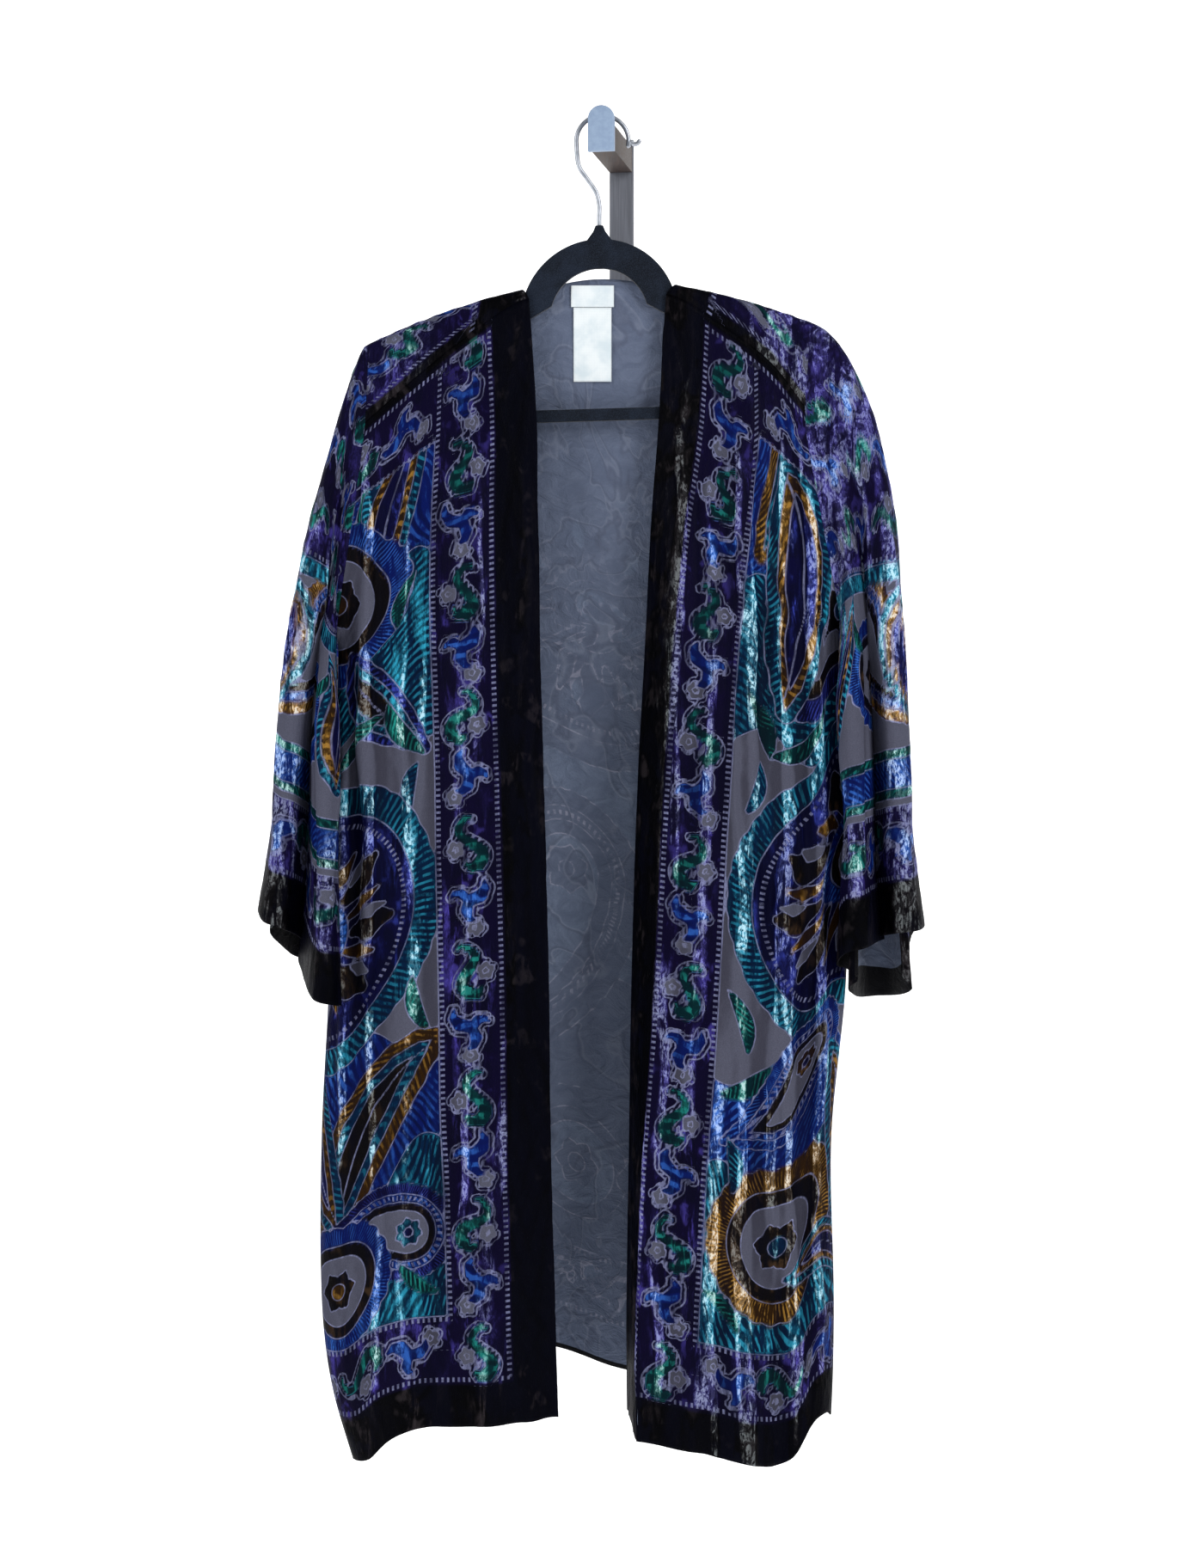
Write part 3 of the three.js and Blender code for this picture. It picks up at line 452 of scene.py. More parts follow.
def bend_points(x, run):
    """Points of a flap, a run of cloth past the ridge: round the bend, then down the front."""
    top = ridge_down(x)
    quarter = RIDGE_R * math.pi / 2
    angle = np.clip(run / RIDGE_R, 0, math.pi / 2)
    down = top + RIDGE_R + run - quarter
    curved = run <= quarter
    y = np.where(curved, -RIDGE_R * np.sin(angle), -front_depth(x, down, angle_of(x, down)))
    z = np.where(curved, -top - RIDGE_R * (1 - np.cos(angle)), -down)
    return np.stack([x, y, z], -1)


def back_grid():
    column = np.linspace(0, CAD_BACK_CELLS, BACK_CELLS + 1)[None, :]
    share = column / CAD_BACK_CELLS
    under = mix(UNDERARM[-1], UNDERARM[1], share)
    ridge = ridge_x(column)
    low = mix(HEM_BACK.down(share), under, np.linspace(0, 1, BACK_LOW + 1)[:, None])
    up = mix(under, ridge_down(ridge) + RIDGE_R, np.linspace(0, 1, BACK_UP + 1)[1:, None])
    body = back_body(column, np.concatenate([low, up]))
    angle = math.pi / 2 * (1 - np.linspace(0, 1, BEND + 1)[1:, None])
    rise = RIDGE_R * (1 - np.cos(angle))
    bend = np.stack(np.broadcast_arrays(ridge, RIDGE_R * np.sin(angle), -ridge_down(ridge) - rise), -1)
    part = np.linspace(0, 1, FLAP + 1)[1:, None] ** 1.5
    x = mix(ridge, seam_x(column), part)
    fall = FLAP_SEAM.down(x) - SEAM - ridge_down(x)
    over = RIDGE_R * np.arccos(1 - np.clip(fall, 0, RIDGE_R) / RIDGE_R)
    run = np.where(fall < RIDGE_R, over, RIDGE_R * math.pi / 2 + fall - RIDGE_R)
    return np.concatenate([body, bend, bend_points(x, run * part)])


def armhole_line(side, back, front):
    """From the underarm up the back, over the shoulder and down the front, with the CAD's count."""
    edge, inside = (0, 1) if side < 0 else (-1, -2)
    line = np.concatenate([back[BACK_LOW:, edge], front[1:FRONT_UP, -1]])
    inner = np.concatenate([back[BACK_LOW:, inside], front[1:FRONT_UP, -2]])
    ridge = CAD_UP + CAD_BEND
    count = np.concatenate([
        np.linspace(0, CAD_UP, BACK_UP + 1),
        CAD_UP + np.linspace(0, CAD_BEND, BEND + 1)[1:],
        ridge + np.linspace(0, CAD_FLAP, FLAP + 1)[1:],
        ridge + CAD_FLAP + np.linspace(0, CAD_FRONT, FRONT_UP + 1)[1:-1],
    ])
    return line, inner, count


def sleeve_points(table, cuff, side, turn, share):
    """A sleeve that hangs freely: a flat pleated tube. turn goes round it, share down it."""
    front = turn <= 0.5
    across = np.where(front, 2 * turn, 2 - 2 * turn)[..., None]

    def column(name):
        return np.broadcast_to(getattr(table, name)(share), turn.shape)

    outer = np.stack([column("outer_x"), column("outer_y"), -column("outer_down")], -1)
    inner = np.stack([column("inner_x"), column("inner_y"), -column("inner_down")], -1)
    flat = inner - outer
    wave = PLEATS * math.pi
    pleat = column("pleat")[..., None]
    out_y = np.array([0, 1, 0])
    point = outer + flat * across - out_y * pleat * np.sin(wave * across)
    tangent = flat - out_y * pleat * wave * np.cos(wave * across)
    level = np.broadcast_to(smooth(share / 0.6), turn.shape)
    travel = np.stack([side * (1 - level), 0 * level, -level], -1)
    facing = np.cross(travel, tangent)
    facing *= -side / np.linalg.norm(facing, axis=-1, keepdims=True)
    opened = np.sqrt(np.maximum(1 - (2 * across - 1) ** 6, 0))
    layer = np.where(front, 1, -1)[..., None]
    point = point + facing * column("deep")[..., None] * opened * layer
    point[..., 2] -= cuff.drop(turn) * share**3
    return point


def sleeve_grid(side, back, front):
    """Rows from the armhole's own line to the free cuff, and each point's place round the sleeve."""
    table = SLEEVE_RIGHT if side < 0 else SLEEVE_LEFT
    cuff = CUFF_RIGHT if side < 0 else CUFF_LEFT
    line, inner, count = armhole_line(side, back, front)
    steps = np.linalg.norm(np.roll(line, -1, 0) - line, axis=1)
    run = np.concatenate([[0], np.cumsum(steps)])
    ridge = BACK_UP + BEND
    index = np.arange(len(line))
    over = index <= ridge
    up, past = run[:-1], run[:-1] - run[ridge]
    by_length = np.where(over, 0.5 + 0.5 * up / run[ridge], 0.5 * past / (run[-1] - run[ridge]))
    cad_ridge, cad_rest = CAD_UP + CAD_BEND, CAD_FLAP + CAD_FRONT
    even = np.where(over, 0.5 + 0.5 * count / cad_ridge, 0.5 * (count - cad_ridge) / cad_rest)
    out = line - inner
    out /= np.linalg.norm(out, axis=1, keepdims=True)
    share = np.linspace(0, 1, SLEEVE_ROWS + 1)[:, None]
    turn = mix(by_length, even, smooth(share / 0.5))
    clear = smooth(np.abs(turn - 0.5) / 0.14)
    push = SEAM + mix(0.8, 4 + 20 * share, clear) * smooth(share / AT_ARMHOLE)
    near = line + out * push[..., None]
    own = sleeve_points(table, cuff, side, turn, share)
    grid = mix(near, own, smooth((share - AT_ARMHOLE) / TO_FREE)[..., None])
    return grid, turn


# ---- Cloth that is crushed as well as folded ----


CREASE_COUNT, CREASE_SHARP = 14, 3.0
ROUND = 6.28


def creases(a, b, seed, pitch, lean):
    """Sharp uneven creases, from 0 to about 1, that run mostly along b."""
    rng = np.random.default_rng(seed)
    total = np.zeros(np.shape(a))
    for _ in range(CREASE_COUNT):
        angle, wave, phase = rng.uniform(-lean, lean), rng.uniform(0.6, 1.6), rng.uniform(0, ROUND)
        bend = rng.uniform(2, 7) * np.sin(b * ROUND / rng.uniform(90, 260) + 1.7 * phase)
        along = (a + bend) * math.cos(angle) + b * math.sin(angle)
        line = 1 - np.abs(np.sin(math.pi * wave * along / pitch + phase))
        gate = np.sin(a * rng.uniform(0.01, 0.03) + b * rng.uniform(0.006, 0.02) + 3 * phase)
        total += line**CREASE_SHARP * np.clip(gate, 0, 1)
    return 3 * total / CREASE_COUNT


def normals_of(grid, outward, closed=False):
    """Unit normals of the grid's points. closed: the last column meets the first."""
    if closed:
        across = np.roll(grid, -1, 1) - np.roll(grid, 1, 1)
    else:
        across = np.gradient(grid, axis=1)
    normal = np.cross(across, np.gradient(grid, axis=0)) * outward
    return normal / np.maximum(np.linalg.norm(normal, axis=-1, keepdims=True), 1e-9)


def run_along(grid, axis):
    """The length of cloth from the grid's first line, along an axis."""
    steps = np.linalg.norm(np.diff(grid, axis=axis), axis=-1)
    start = np.zeros_like(steps[:1] if axis == 0 else steps[:, :1])
    return np.concatenate([start, np.cumsum(steps, axis=axis)], axis=axis)


def run_up(grid, hanging):
    """The length of cloth from the hem. The rows that hang straight count by height alone."""
    move = np.diff(grid, axis=0)
    steps = np.linalg.norm(move, axis=-1)
    steps[:hanging] = np.abs(move[:hanging, :, 2])
    return np.concatenate([np.zeros_like(steps[:1]), np.cumsum(steps, axis=0)])


def blurred(grid, reach, axis, closed=False):
    """Each point's mean with its neighbours within reach, along an axis."""
    mode = "wrap" if closed else "edge"
    pad = [(0, 0)] * grid.ndim
    pad[axis] = (reach, reach)
    wide = np.pad(grid, pad, mode=mode)
    total = np.cumsum(np.insert(wide, 0, 0, axis=axis), axis=axis)
    size = 2 * reach + 1
    last = np.take(total, range(size, total.shape[axis]), axis=axis)
    first = np.take(total, range(0, total.shape[axis] - size), axis=axis)
    return (last - first) / size


def ridges_of(grid, outward, reach, closed=False):
    """How far each point stands out of the cloth around it, in millimetres."""
    around = blurred(grid, reach, 1, closed)
    return ((grid - around) * normals_of(grid, outward, closed)).sum(-1)


# ---- Pattern drawn on the cloth ----


def linear(rgb):
    """A colour of 0 to 255 as the shader wants it."""
    c = np.array(rgb) / 255
    return np.where(c <= 0.04045, c / 12.92, ((c + 0.055) / 1.055) ** 2.4)


# Each colour of pile: in shade, and a brighter one for its lighter hatch strokes and for the painted
# highlights where the crushed pile catches the light.
PALETTE = {
    "black": ((1, 1, 3), (58, 52, 56)),
    "navy": ((10, 6, 34), (84, 74, 178)),
    "indigo": ((8, 8, 44), (70, 84, 204)),
    "blue": ((7, 20, 80), (66, 130, 236)),
    "teal": ((3, 28, 56), (58, 190, 226)),
    "green": ((3, 32, 38), (44, 168, 156)),
    "amber": ((40, 24, 7), (220, 164, 74)),
    "brown": ((9, 7, 9), (84, 62, 42)),
}
FAR = 1e3
NO_LINE = 50.0
SOFT_EDGE = 1.5
DASH_PITCH = 4.6
HATCH_PITCH = 7


class Canvas:
    """Fields over the cloth's grid. a and b are cloth coordinates in millimetres.

    It starts as bare sheer ground. ground is above zero there, and below zero on pile.
    Outlines are the zero lines of signed distances. Shapes that lie in each other take the
    channels in turn, so that no line is lost where one covers part of another.
    """

    CHANNELS = ("edge_a", "edge_b", "edge_c")

    def __init__(self, a, b):
        self.a, self.b = np.broadcast_arrays(a, b)
        shape = self.a.shape
        dark, bright = PALETTE["navy"]
        self.tint = np.broadcast_to(linear(dark), shape + (3,)).copy()
        self.stroke_and_highlight = np.broadcast_to(linear(bright), shape + (3,)).copy()
        self.ground = np.full(shape, NO_LINE)
        self.edges = {name: np.full(shape, NO_LINE) for name in self.CHANNELS}
        self.dash = np.full(shape, NO_LINE)
        self.dash_at = np.zeros(shape)
        self.streak = np.zeros(shape)
        self.turn = 0

    def cover(self, d):
        """Takes away the lines and dashes where d is below zero."""
        for name, edge in self.edges.items():
            self.edges[name] = np.maximum(edge, -d)
        self.dash = np.where(d < 0, NO_LINE, self.dash)

    def outline(self, d):
        """A thin line where d is zero."""
        name = self.CHANNELS[self.turn % len(self.CHANNELS)]
        self.turn += 1
        self.edges[name] = np.minimum(self.edges[name], d)

    def fill(self, d, colour=None, outline=True, streak=None):
        """Covers where d is below zero: with pile of a colour, or with bare ground."""
        inside = np.clip(0.5 - d / SOFT_EDGE, 0, 1)[..., None]
        self.cover(d)
        if colour:
            dark, bright = PALETTE[colour]
            self.tint = mix(self.tint, linear(dark), inside)
            self.stroke_and_highlight = mix(self.stroke_and_highlight, linear(bright), inside)
            self.ground = np.minimum(self.ground, d)
        else:
            self.ground = np.maximum(self.ground, -d)
        if outline and colour:
            self.outline(d)
        self.streak = np.where(d < 0, 0.0 if streak is None else streak, self.streak)

    def waves(self, *rows):
        """Broad shapes, each a distance, a colour and a length to hatch along."""
        for shape, colour, length in rows:
            self.fill(shape, colour, streak=length / HATCH_PITCH)

    def plain(self, d, colour):
        """Pile of a colour without an outline."""
        self.fill(d, colour, outline=False)

    def dashes(self, d, along, where=True):
        """A dashed line where d is zero."""
        nearer = (np.abs(d) < np.abs(self.dash)) & where
        self.dash_at = np.where(nearer, along / DASH_PITCH, self.dash_at)
        self.dash = np.where(nearer, d, self.dash)

    def fields(self):
        named = ("tint", "stroke_and_highlight", "ground", "dash", "dash_at", "streak")
        return {**{name: getattr(self, name) for name in named}, **self.edges}


def taper(u, v, spine):
    """Distance to a line of points (u, v, radius), each stretch a tapered rod."""
    best = np.full(np.shape(u), FAR)
    for (u0, v0, r0), (u1, v1, r1) in zip(spine, spine[1:]):
        du, dv = u1 - u0, v1 - v0
        t = np.clip(((u - u0) * du + (v - v0) * dv) / (du * du + dv * dv), 0, 1)
        best = np.minimum(best, np.hypot(u - u0 - du * t, v - v0 - dv * t) - mix(r0, r1, t))
    return best


def leaf_spine(length, wide, sway):
    """The bent middle line of a leaf, with its half widths."""
    spine = []
    for t in np.linspace(0, 1, 9):
        half = wide * math.sin(math.pi * min(0.08 + 0.9 * t, 1)) ** 0.8
        spine.append((sway * math.sin(math.pi * t), length * (t - 0.5), half))
    return spine


def scroll_shape(u, v):
    """A long S scroll with a curled head and a curled tail."""
    spine = []
    for t in np.linspace(-1, 1, 17):
        spine.append((8.5 * math.sin(2.6 * t), 17.5 * t, 4.4 - 1.5 * t))
    body = taper(u, v, spine)
    head = taper(u, v, [(-4.4, -17.5, 4.6), (1.5, -20.5, 3.6), (5.5, -16.5, 2.6)])
    tail = taper(u, v, [(4.4, 17.5, 2.8), (0, 21, 2.2), (-4, 19, 1.4)])
    return np.minimum(body, np.minimum(head, tail))


def sprig_shape(u, v):
    """Three bent petals round a heart."""
    best = np.hypot(u, v) - 5.6
    for angle, reach in ((0.4, 1.25), (2.5, 0.95), (4.5, 1.1)):
        p = (u * math.cos(angle) + v * math.sin(angle)) / reach
        q = (v * math.cos(angle) - u * math.sin(angle)) / reach
        best = np.minimum(best, taper(p, q, [(2, 0, 4.2), (8, 0.5, 4.8), (12.5, 4, 3.2), (13, 9, 1.6)]))
    return best


def bloom_shape(u, v, size):
    """A small five-lobed flower."""
    angle = np.arctan2(v, u)
    return np.hypot(u, v) - size * (0.66 + 0.4 * np.abs(np.cos(2.5 * angle)) ** 0.7)


MOTIF_PITCH = 51


def motif_row(canvas, across, along, where, seed):
    """A row of scrolls and sprigs in turn. across is from the row's middle line."""
    index = np.floor(along / MOTIF_PITCH)
    v = along - (index + 0.5) * MOTIF_PITCH
    odd = (index + seed) % 2 > 0.5
    sign = np.where((index + seed) % 4 > 1.5, -1, 1)
    u = across * sign
    lean = 0.3 * np.sin(2.3 * index + seed)
    u, v = u * np.cos(lean) + v * np.sin(lean), v * np.cos(lean) - u * np.sin(lean)
    shape = np.where(odd, sprig_shape(u + 1, v - 5), scroll_shape(u + 2, v))
    bloom = bloom_shape(u - np.where(odd, 6, 11), v + np.where(odd, 16, 4), 7.2)
    shape, bloom = np.where(where, shape, FAR), np.where(where, bloom, FAR)
    canvas.fill(np.minimum(shape, bloom) - 2.9, "navy")
    canvas.fill(bloom, None)
    canvas.outline(bloom + 4.6)
    canvas.fill(np.where(odd, shape, FAR), "blue", streak=v / 11)
    canvas.fill(np.where(odd, FAR, shape), "green", streak=v / 11)


# The navy border beside the black band: its width, its end and the middle line of its motifs.
BORDER, BORDER_END, BORDER_MIDDLE = 54, 91, 62
MOTIFS_END = 90
SHOULDER_BAND = 66
NECK_BAND, NECK_CELL_MM = 30, 7.2
BACK_BAND = 70
CUFF_BAND, CUFF_BORDER, CUFF_MIDDLE, CUFF_END = 42, 60, 74, 102
# Rows of motifs up the sleeve: where the first begins, its middle line and the rows' height.
SLEEVE_MOTIFS, SLEEVE_MIDDLE, SLEEVE_PITCH = 306, 334, 54


def border(canvas, q, along, edge, wide):
    """A plain black edge, a dashed line, a dark band for motifs and a second dashed line."""
    canvas.plain(q - edge - wide, "navy")
    canvas.plain(q - edge, "black")
    canvas.dashes(q - edge - 2.8, along)
    canvas.dashes(q - edge - wide + 2.6, along)


# ---- Motifs of the field, each in its own turned frame ----


def petals(u, v, count, inner, outer, wide, turn=0.0):
    """Distance to a ring of petals, from the inner to the outer radius."""
    angle = np.arctan2(v, u) + turn
    step = 2 * math.pi / count
    local = (angle / step - np.round(angle / step)) * step
    r = np.hypot(u, v)
    p, q = r * np.cos(local), r * np.sin(local)
    middle = (inner + outer) / 2
    return taper(p, q, [(inner, 0, wide * 0.35), (middle, 0, wide), (outer, 0, wide * 0.3)])


def medallion(canvas, u, v, size, colours):
    rim, core, accent = colours
    r, angle = np.hypot(u, v), np.arctan2(v, u)
    scallop = 1.4 * np.abs(np.sin(19 * angle))
    canvas.fill(r - size - scallop, rim, streak=angle * 20 + 0.05 * r)
    canvas.fill(r - 0.83 * size, core)
    canvas.dashes(r - 0.76 * size, angle * 0.76 * size)
    canvas.fill(petals(u, v, 9, 0.36 * size, 0.66 * size, 0.12 * size, 0.2), "brown")
    canvas.fill(petals(u, v, 9, 0.44 * size, 0.62 * size, 0.045 * size, 0.34), None)
    canvas.fill(petals(u, v, 9, 0.3 * size, 0.6 * size, 0.05 * size, 0.2 + math.pi / 9), accent)
    canvas.fill(r - 0.31 * size, "blue", streak=angle * 7)
    canvas.fill(r - 0.23 * size, "brown")
    canvas.fill(r - 0.16 * size, None)
    canvas.fill(petals(u, v, 6, 0.02 * size, 0.12 * size, 0.045 * size), "green")


def rosette(canvas, u, v, size, colours):
    rim, core, accent = colours
    r, angle = np.hypot(u, v), np.arctan2(v, u)
    canvas.fill(r - size - 2.2 * np.abs(np.sin(11 * angle)), rim, streak=angle * 18)
    canvas.fill(r - 0.74 * size, core)
    canvas.fill(r - 0.55 * size, None)
    canvas.fill(petals(u, v, 6, 0.05 * size, 0.3 * size, 0.13 * size), "brown")
    canvas.fill(r - 0.13 * size, accent)


def paisley(canvas, u, v, size, colours):
    rim, core, accent = colours
    spine = []
    for t in np.linspace(0, 1, 12):
        spine.append((0.34 * size * t**2.2, size * (0.95 * t - 0.3), 0.33 * size * (1 - t**1.5) + 1.5))
    d = taper(u, v, spine)
    angle = np.arctan2(v + 0.2 * size, u)
    canvas.fill(d - 1.5 * np.abs(np.sin(24 * angle)), rim, streak=angle * 20)
    canvas.fill(d + 0.07 * size, "blue", streak=(u + v) / 7)
    canvas.dashes(d + 0.1 * size, angle * 0.3 * size)
    canvas.fill(d + 0.13 * size, core)
    canvas.fill(d + 0.19 * size, None)
    centre = v + 0.3 * size
    canvas.fill(petals(u, centre, 7, 0.03 * size, 0.1 * size, 0.035 * size), accent)
    canvas.fill(np.hypot(u, centre) - 0.035 * size, "indigo")


def plume(canvas, u, v, size, colours):
    rim, core, accent = colours
    d = taper(u, v, leaf_spine(size, 0.17 * size, 0.09 * size))
    canvas.fill(d, rim, streak=(np.abs(u) * 0.7 + v) / 6)
    canvas.fill(d + 0.055 * size, accent, streak=(np.abs(u) * 0.7 + v) / 9)
    canvas.fill(d + 0.1 * size, core)
    canvas.outline(taper(u, v, leaf_spine(size * 0.9, 0.4, 0.09 * size)))


def leaf(canvas, u, v, size, colours):
    shape = taper(u, v, leaf_spine(size, 0.15 * size, 0.12 * size))
    canvas.fill(shape, colours[0], streak=(np.abs(u) + v) / 5)


MOTIFS = {"medallion": medallion, "rosette": rosette, "paisley": paisley, "plume": plume, "leaf": leaf}
SCHEMES = {
    "sea": ("teal", "indigo", "amber"),
    "earth": ("blue", "brown", "amber"),
    "wood": ("green", "navy", "amber"),
    "gold": ("amber", "brown", "teal"),
    "night": ("indigo", "brown", "teal"),
}


def draw_field(canvas, rows):
    """rows: kind, across, height over the hem, size, turn in degrees, scheme."""
    for kind, a, b, size, degrees, scheme in rows:
        turn = math.radians(degrees)
        p, q = canvas.a - a, canvas.b - b
        u = p * math.cos(turn) + q * math.sin(turn)
        v = q * math.cos(turn) - p * math.sin(turn)
        MOTIFS[kind](canvas, u, v, size, SCHEMES[scheme])


FIELD_RIGHT_FRONT = (
    ("paisley", 168, 842, 150, 200, "wood"),
    ("plume", 112, 770, 150, 12, "sea"),
    ("rosette", 170, 694, 66, 0, "earth"),
    ("plume", 128, 600, 120, -30, "night"),
    ("leaf", 108, 676, 44, 20, "wood"),
    ("leaf", 112, 566, 52, -32, "wood"),
    ("leaf", 150, 570, 48, 64, "wood"),
    ("leaf", 106, 516, 40, 10, "sea"),
    ("medallion", 205, 430, 118, 0, "sea"),
    ("leaf", 104, 342, 46, -16, "wood"),
    ("leaf", 108, 292, 42, 30, "sea"),
    ("plume", 140, 244, 190, 36, "gold"),
    ("plume", 196, 262, 150, -8, "sea"),
    ("paisley", 150, 170, 110, -70, "night"),
    ("rosette", 186, 136, 50, 0, "earth"),
    ("leaf", 112, 122, 40, -50, "wood"),
)
FIELD_LEFT_FRONT = (
    ("plume", 118, 820, 170, -10, "gold"),
    ("paisley", 176, 800, 170, 176, "sea"),
    ("rosette", 178, 650, 58, 0, "night"),
    ("plume", 124, 690, 170, 8, "sea"),
    ("leaf", 112, 590, 54, 30, "wood"),
    ("leaf", 150, 580, 50, -60, "wood"),
    ("medallion", 208, 448, 116, 0, "sea"),
    ("leaf", 110, 540, 44, -14, "sea"),
    ("leaf", 106, 350, 48, 24, "wood"),
    ("leaf", 118, 306, 52, -52, "wood"),
    ("paisley", 158, 290, 96, 150, "earth"),
    ("rosette", 154, 176, 62, 0, "gold"),
    ("plume", 214, 230, 150, 12, "sea"),
    ("plume", 216, 130, 110, 70, "sea"),
    ("leaf", 108, 236, 42, 10, "sea"),
    ("leaf", 106, 118, 40, 50, "wood"),
)
FIELD_BACK = (
    ("medallion", 0, 610, 120, 0, "sea"),
    ("medallion", -150, 380, 96, 0, "earth"),
    ("medallion", 150, 396, 96, 0, "earth"),
    ("paisley", -20, 340, 190, 180, "sea"),
    ("rosette", -110, 560, 54, 0, "night"),
    ("rosette", 116, 566, 54, 0, "night"),
    ("paisley", -150, 760, 150, 20, "wood"),
    ("paisley", 150, 764, 150, -20, "wood"),
    ("plume", -60, 806, 150, 24, "sea"),
    ("plume", 62, 808, 150, -24, "sea"),
    ("rosette", 0, 160, 60, 0, "gold"),
    ("plume", -90, 210, 150, 40, "gold"),
    ("plume", 92, 214, 150, -40, "gold"),
    ("paisley", -170, 190, 120, -30, "sea"),
    ("paisley", 172, 196, 120, 30, "sea"),
    ("leaf", -70, 480, 50, 20, "wood"),
    ("leaf", 74, 484, 50, -20, "wood"),
    ("leaf", 60, 300, 46, 50, "wood"),
    ("leaf", -62, 268, 46, -50, "wood"),
)
FIELD_SLEEVE = (
    ("paisley", 60, 222, 120, 160, "gold"),
    ("rosette", 118, 216, 44, 0, "earth"),
    ("plume", 168, 226, 110, 14, "sea"),
    ("plume", 16, 224, 110, -12, "sea"),
    ("paisley", 226, 220, 120, 190, "sea"),
    ("rosette", 280, 222, 44, 0, "night"),
    ("plume", 326, 224, 110, 10, "gold"),
    ("medallion", 400, 226, 60, 0, "sea"),
    ("leaf", 92, 262, 36, 40, "wood"),
    ("leaf", 146, 250, 36, -30, "wood"),
    ("leaf", 200, 262, 36, 20, "wood"),
)

# ---- Node helpers ----
# A mix node's sockets that work on colours: the factor, both colours, and the result.
MIX_INPUTS, MIX_OUTPUT = (0, 6, 7), 2


class Nodes:
    """A material's node tree, with short ways to add to it."""

    def __init__(self, name):
        self.material = bpy.data.materials.new(name)
        self.material.use_nodes = True
        self.tree = self.material.node_tree
        self.shader = self.tree.nodes["Principled BSDF"]

    def put(self, socket, value):
        """Links a socket to another node's output, or sets its value."""
        if isinstance(value, bpy.types.NodeSocket):
            self.tree.links.new(value, socket)
        elif hasattr(value, "__len__") and len(value) == 3 and socket.type == "RGBA":
            socket.default_value = (*value, 1)
        else:
            socket.default_value = value

    def add(self, kind, **settings):
        node = self.tree.nodes.new(kind)
        for name, value in settings.items():
            setattr(node, name, value)
        return node

    def math(self, operation, a, b=None, c=None, clamp=False):
        node = self.add("ShaderNodeMath", operation=operation, use_clamp=clamp)
        for socket, value in zip(node.inputs, (a, b, c)):
            if value is not None:
                self.put(socket, value)
        return node.outputs[0]

    def times(self, first, *others):
        """The product of two or more values."""
        for other in others:
            first = self.math("MULTIPLY", first, other)
        return first

    def step(self, value, low, high, out_low=0.0, out_high=1.0):
        """A smooth step from out_low to out_high while value goes from low to high."""
        node = self.add("ShaderNodeMapRange", interpolation_type="SMOOTHSTEP")
        for socket, v in zip(node.inputs, (value, low, high, out_low, out_high)):
            self.put(socket, v)
        return node.outputs[0]

    def mix(self, factor, a, b):
        node = self.add("ShaderNodeMix", data_type="RGBA")
        for place, value in zip(MIX_INPUTS, (factor, a, b)):
            self.put(node.inputs[place], value)
        return node.outputs[MIX_OUTPUT]

    def attribute(self, name, output="Fac"):
        return self.add("ShaderNodeAttribute", attribute_name=name).outputs[output]

    def noise(self, scale, stretch=(1, 1, 1), detail=3.0, rough=0.55, warp=0.0):
        place = self.add("ShaderNodeTexCoord")
        mapping = self.add("ShaderNodeMapping")
        mapping.inputs["Scale"].default_value = stretch
        self.tree.links.new(place.outputs["Object"], mapping.inputs["Vector"])
        node = self.add("ShaderNodeTexNoise")
        self.tree.links.new(mapping.outputs[0], node.inputs["Vector"])
        settings = {"Scale": scale, "Detail": detail, "Roughness": rough, "Distortion": warp}
        for name, value in settings.items():
            node.inputs[name].default_value = value
        return node.outputs["Fac"]

    def bump(self, height, strength, distance):
        node = self.add("ShaderNodeBump")
        node.inputs["Strength"].default_value = strength
        node.inputs["Distance"].default_value = distance
        self.tree.links.new(height, node.inputs["Height"])
        self.tree.links.new(node.outputs[0], self.shader.inputs["Normal"])

    def set(self, **values):
        for name, value in values.items():
            self.put(self.shader.inputs[name.replace("_", " ")], value)


# Colours of the cloth, outside and inside.
OUTLINE = linear((134, 138, 176))
# Dark of the pile's hatch strokes, and of the painted shade in its hollows.
PILE_DARK_AND_SHADE = linear((5, 6, 20))
# White mixed into the bright colour for the painted highlights on the fold crests.
HIGHLIGHT_WHITE = (0.84, 0.97, 1.0)
SHEER = linear((76, 77, 92))
SHEER_LIGHT = linear((94, 96, 112))
SHEER_SHADE = linear((40, 38, 48))
LINING = linear((93, 104, 126))
LINING_LIGHT = linear((110, 121, 143))
LINING_WEAVE = linear((80, 86, 104))
LINING_BACKED = linear((74, 78, 98))
LINING_GHOST = linear((158, 158, 176))
# Painted highlight and painted shade of the inside's crinkle lines.
WRINKLE_HIGHLIGHT = linear((126, 134, 152))
WRINKLE_SHADE = linear((74, 79, 96))
TURNED_HEM = linear((7, 7, 12))
# Half widths, in millimetres, of an outline and of a dash across its line.
HALF_LINE = 0.54
DASH_HALF = 2.1
FULL_TURN = 6.2832


def pattern_masks(n):
    """Where the outlines, the dashes and the bare ground lie."""
    nearest = n.math("ABSOLUTE", n.attribute("ground"))
    for name in Canvas.CHANNELS:
        nearest = n.math("MINIMUM", nearest, n.math("ABSOLUTE", n.attribute(name)))
    line = n.step(nearest, HALF_LINE - 0.3, HALF_LINE + 0.3, 1.0, 0.0)
    dash_near = n.step(n.math("ABSOLUTE", n.attribute("dash")), DASH_HALF - 0.4, DASH_HALF, 1.0, 0.0)
    phase = n.math("ABSOLUTE", n.math("SUBTRACT", n.math("FRACT", n.attribute("dash_at")), 0.5))
    dash = n.times(dash_near, n.step(phase, 0.17, 0.27, 1.0, 0.0))
    sheer = n.step(n.attribute("ground"), -0.4, 0.4)
    return line, dash, sheer


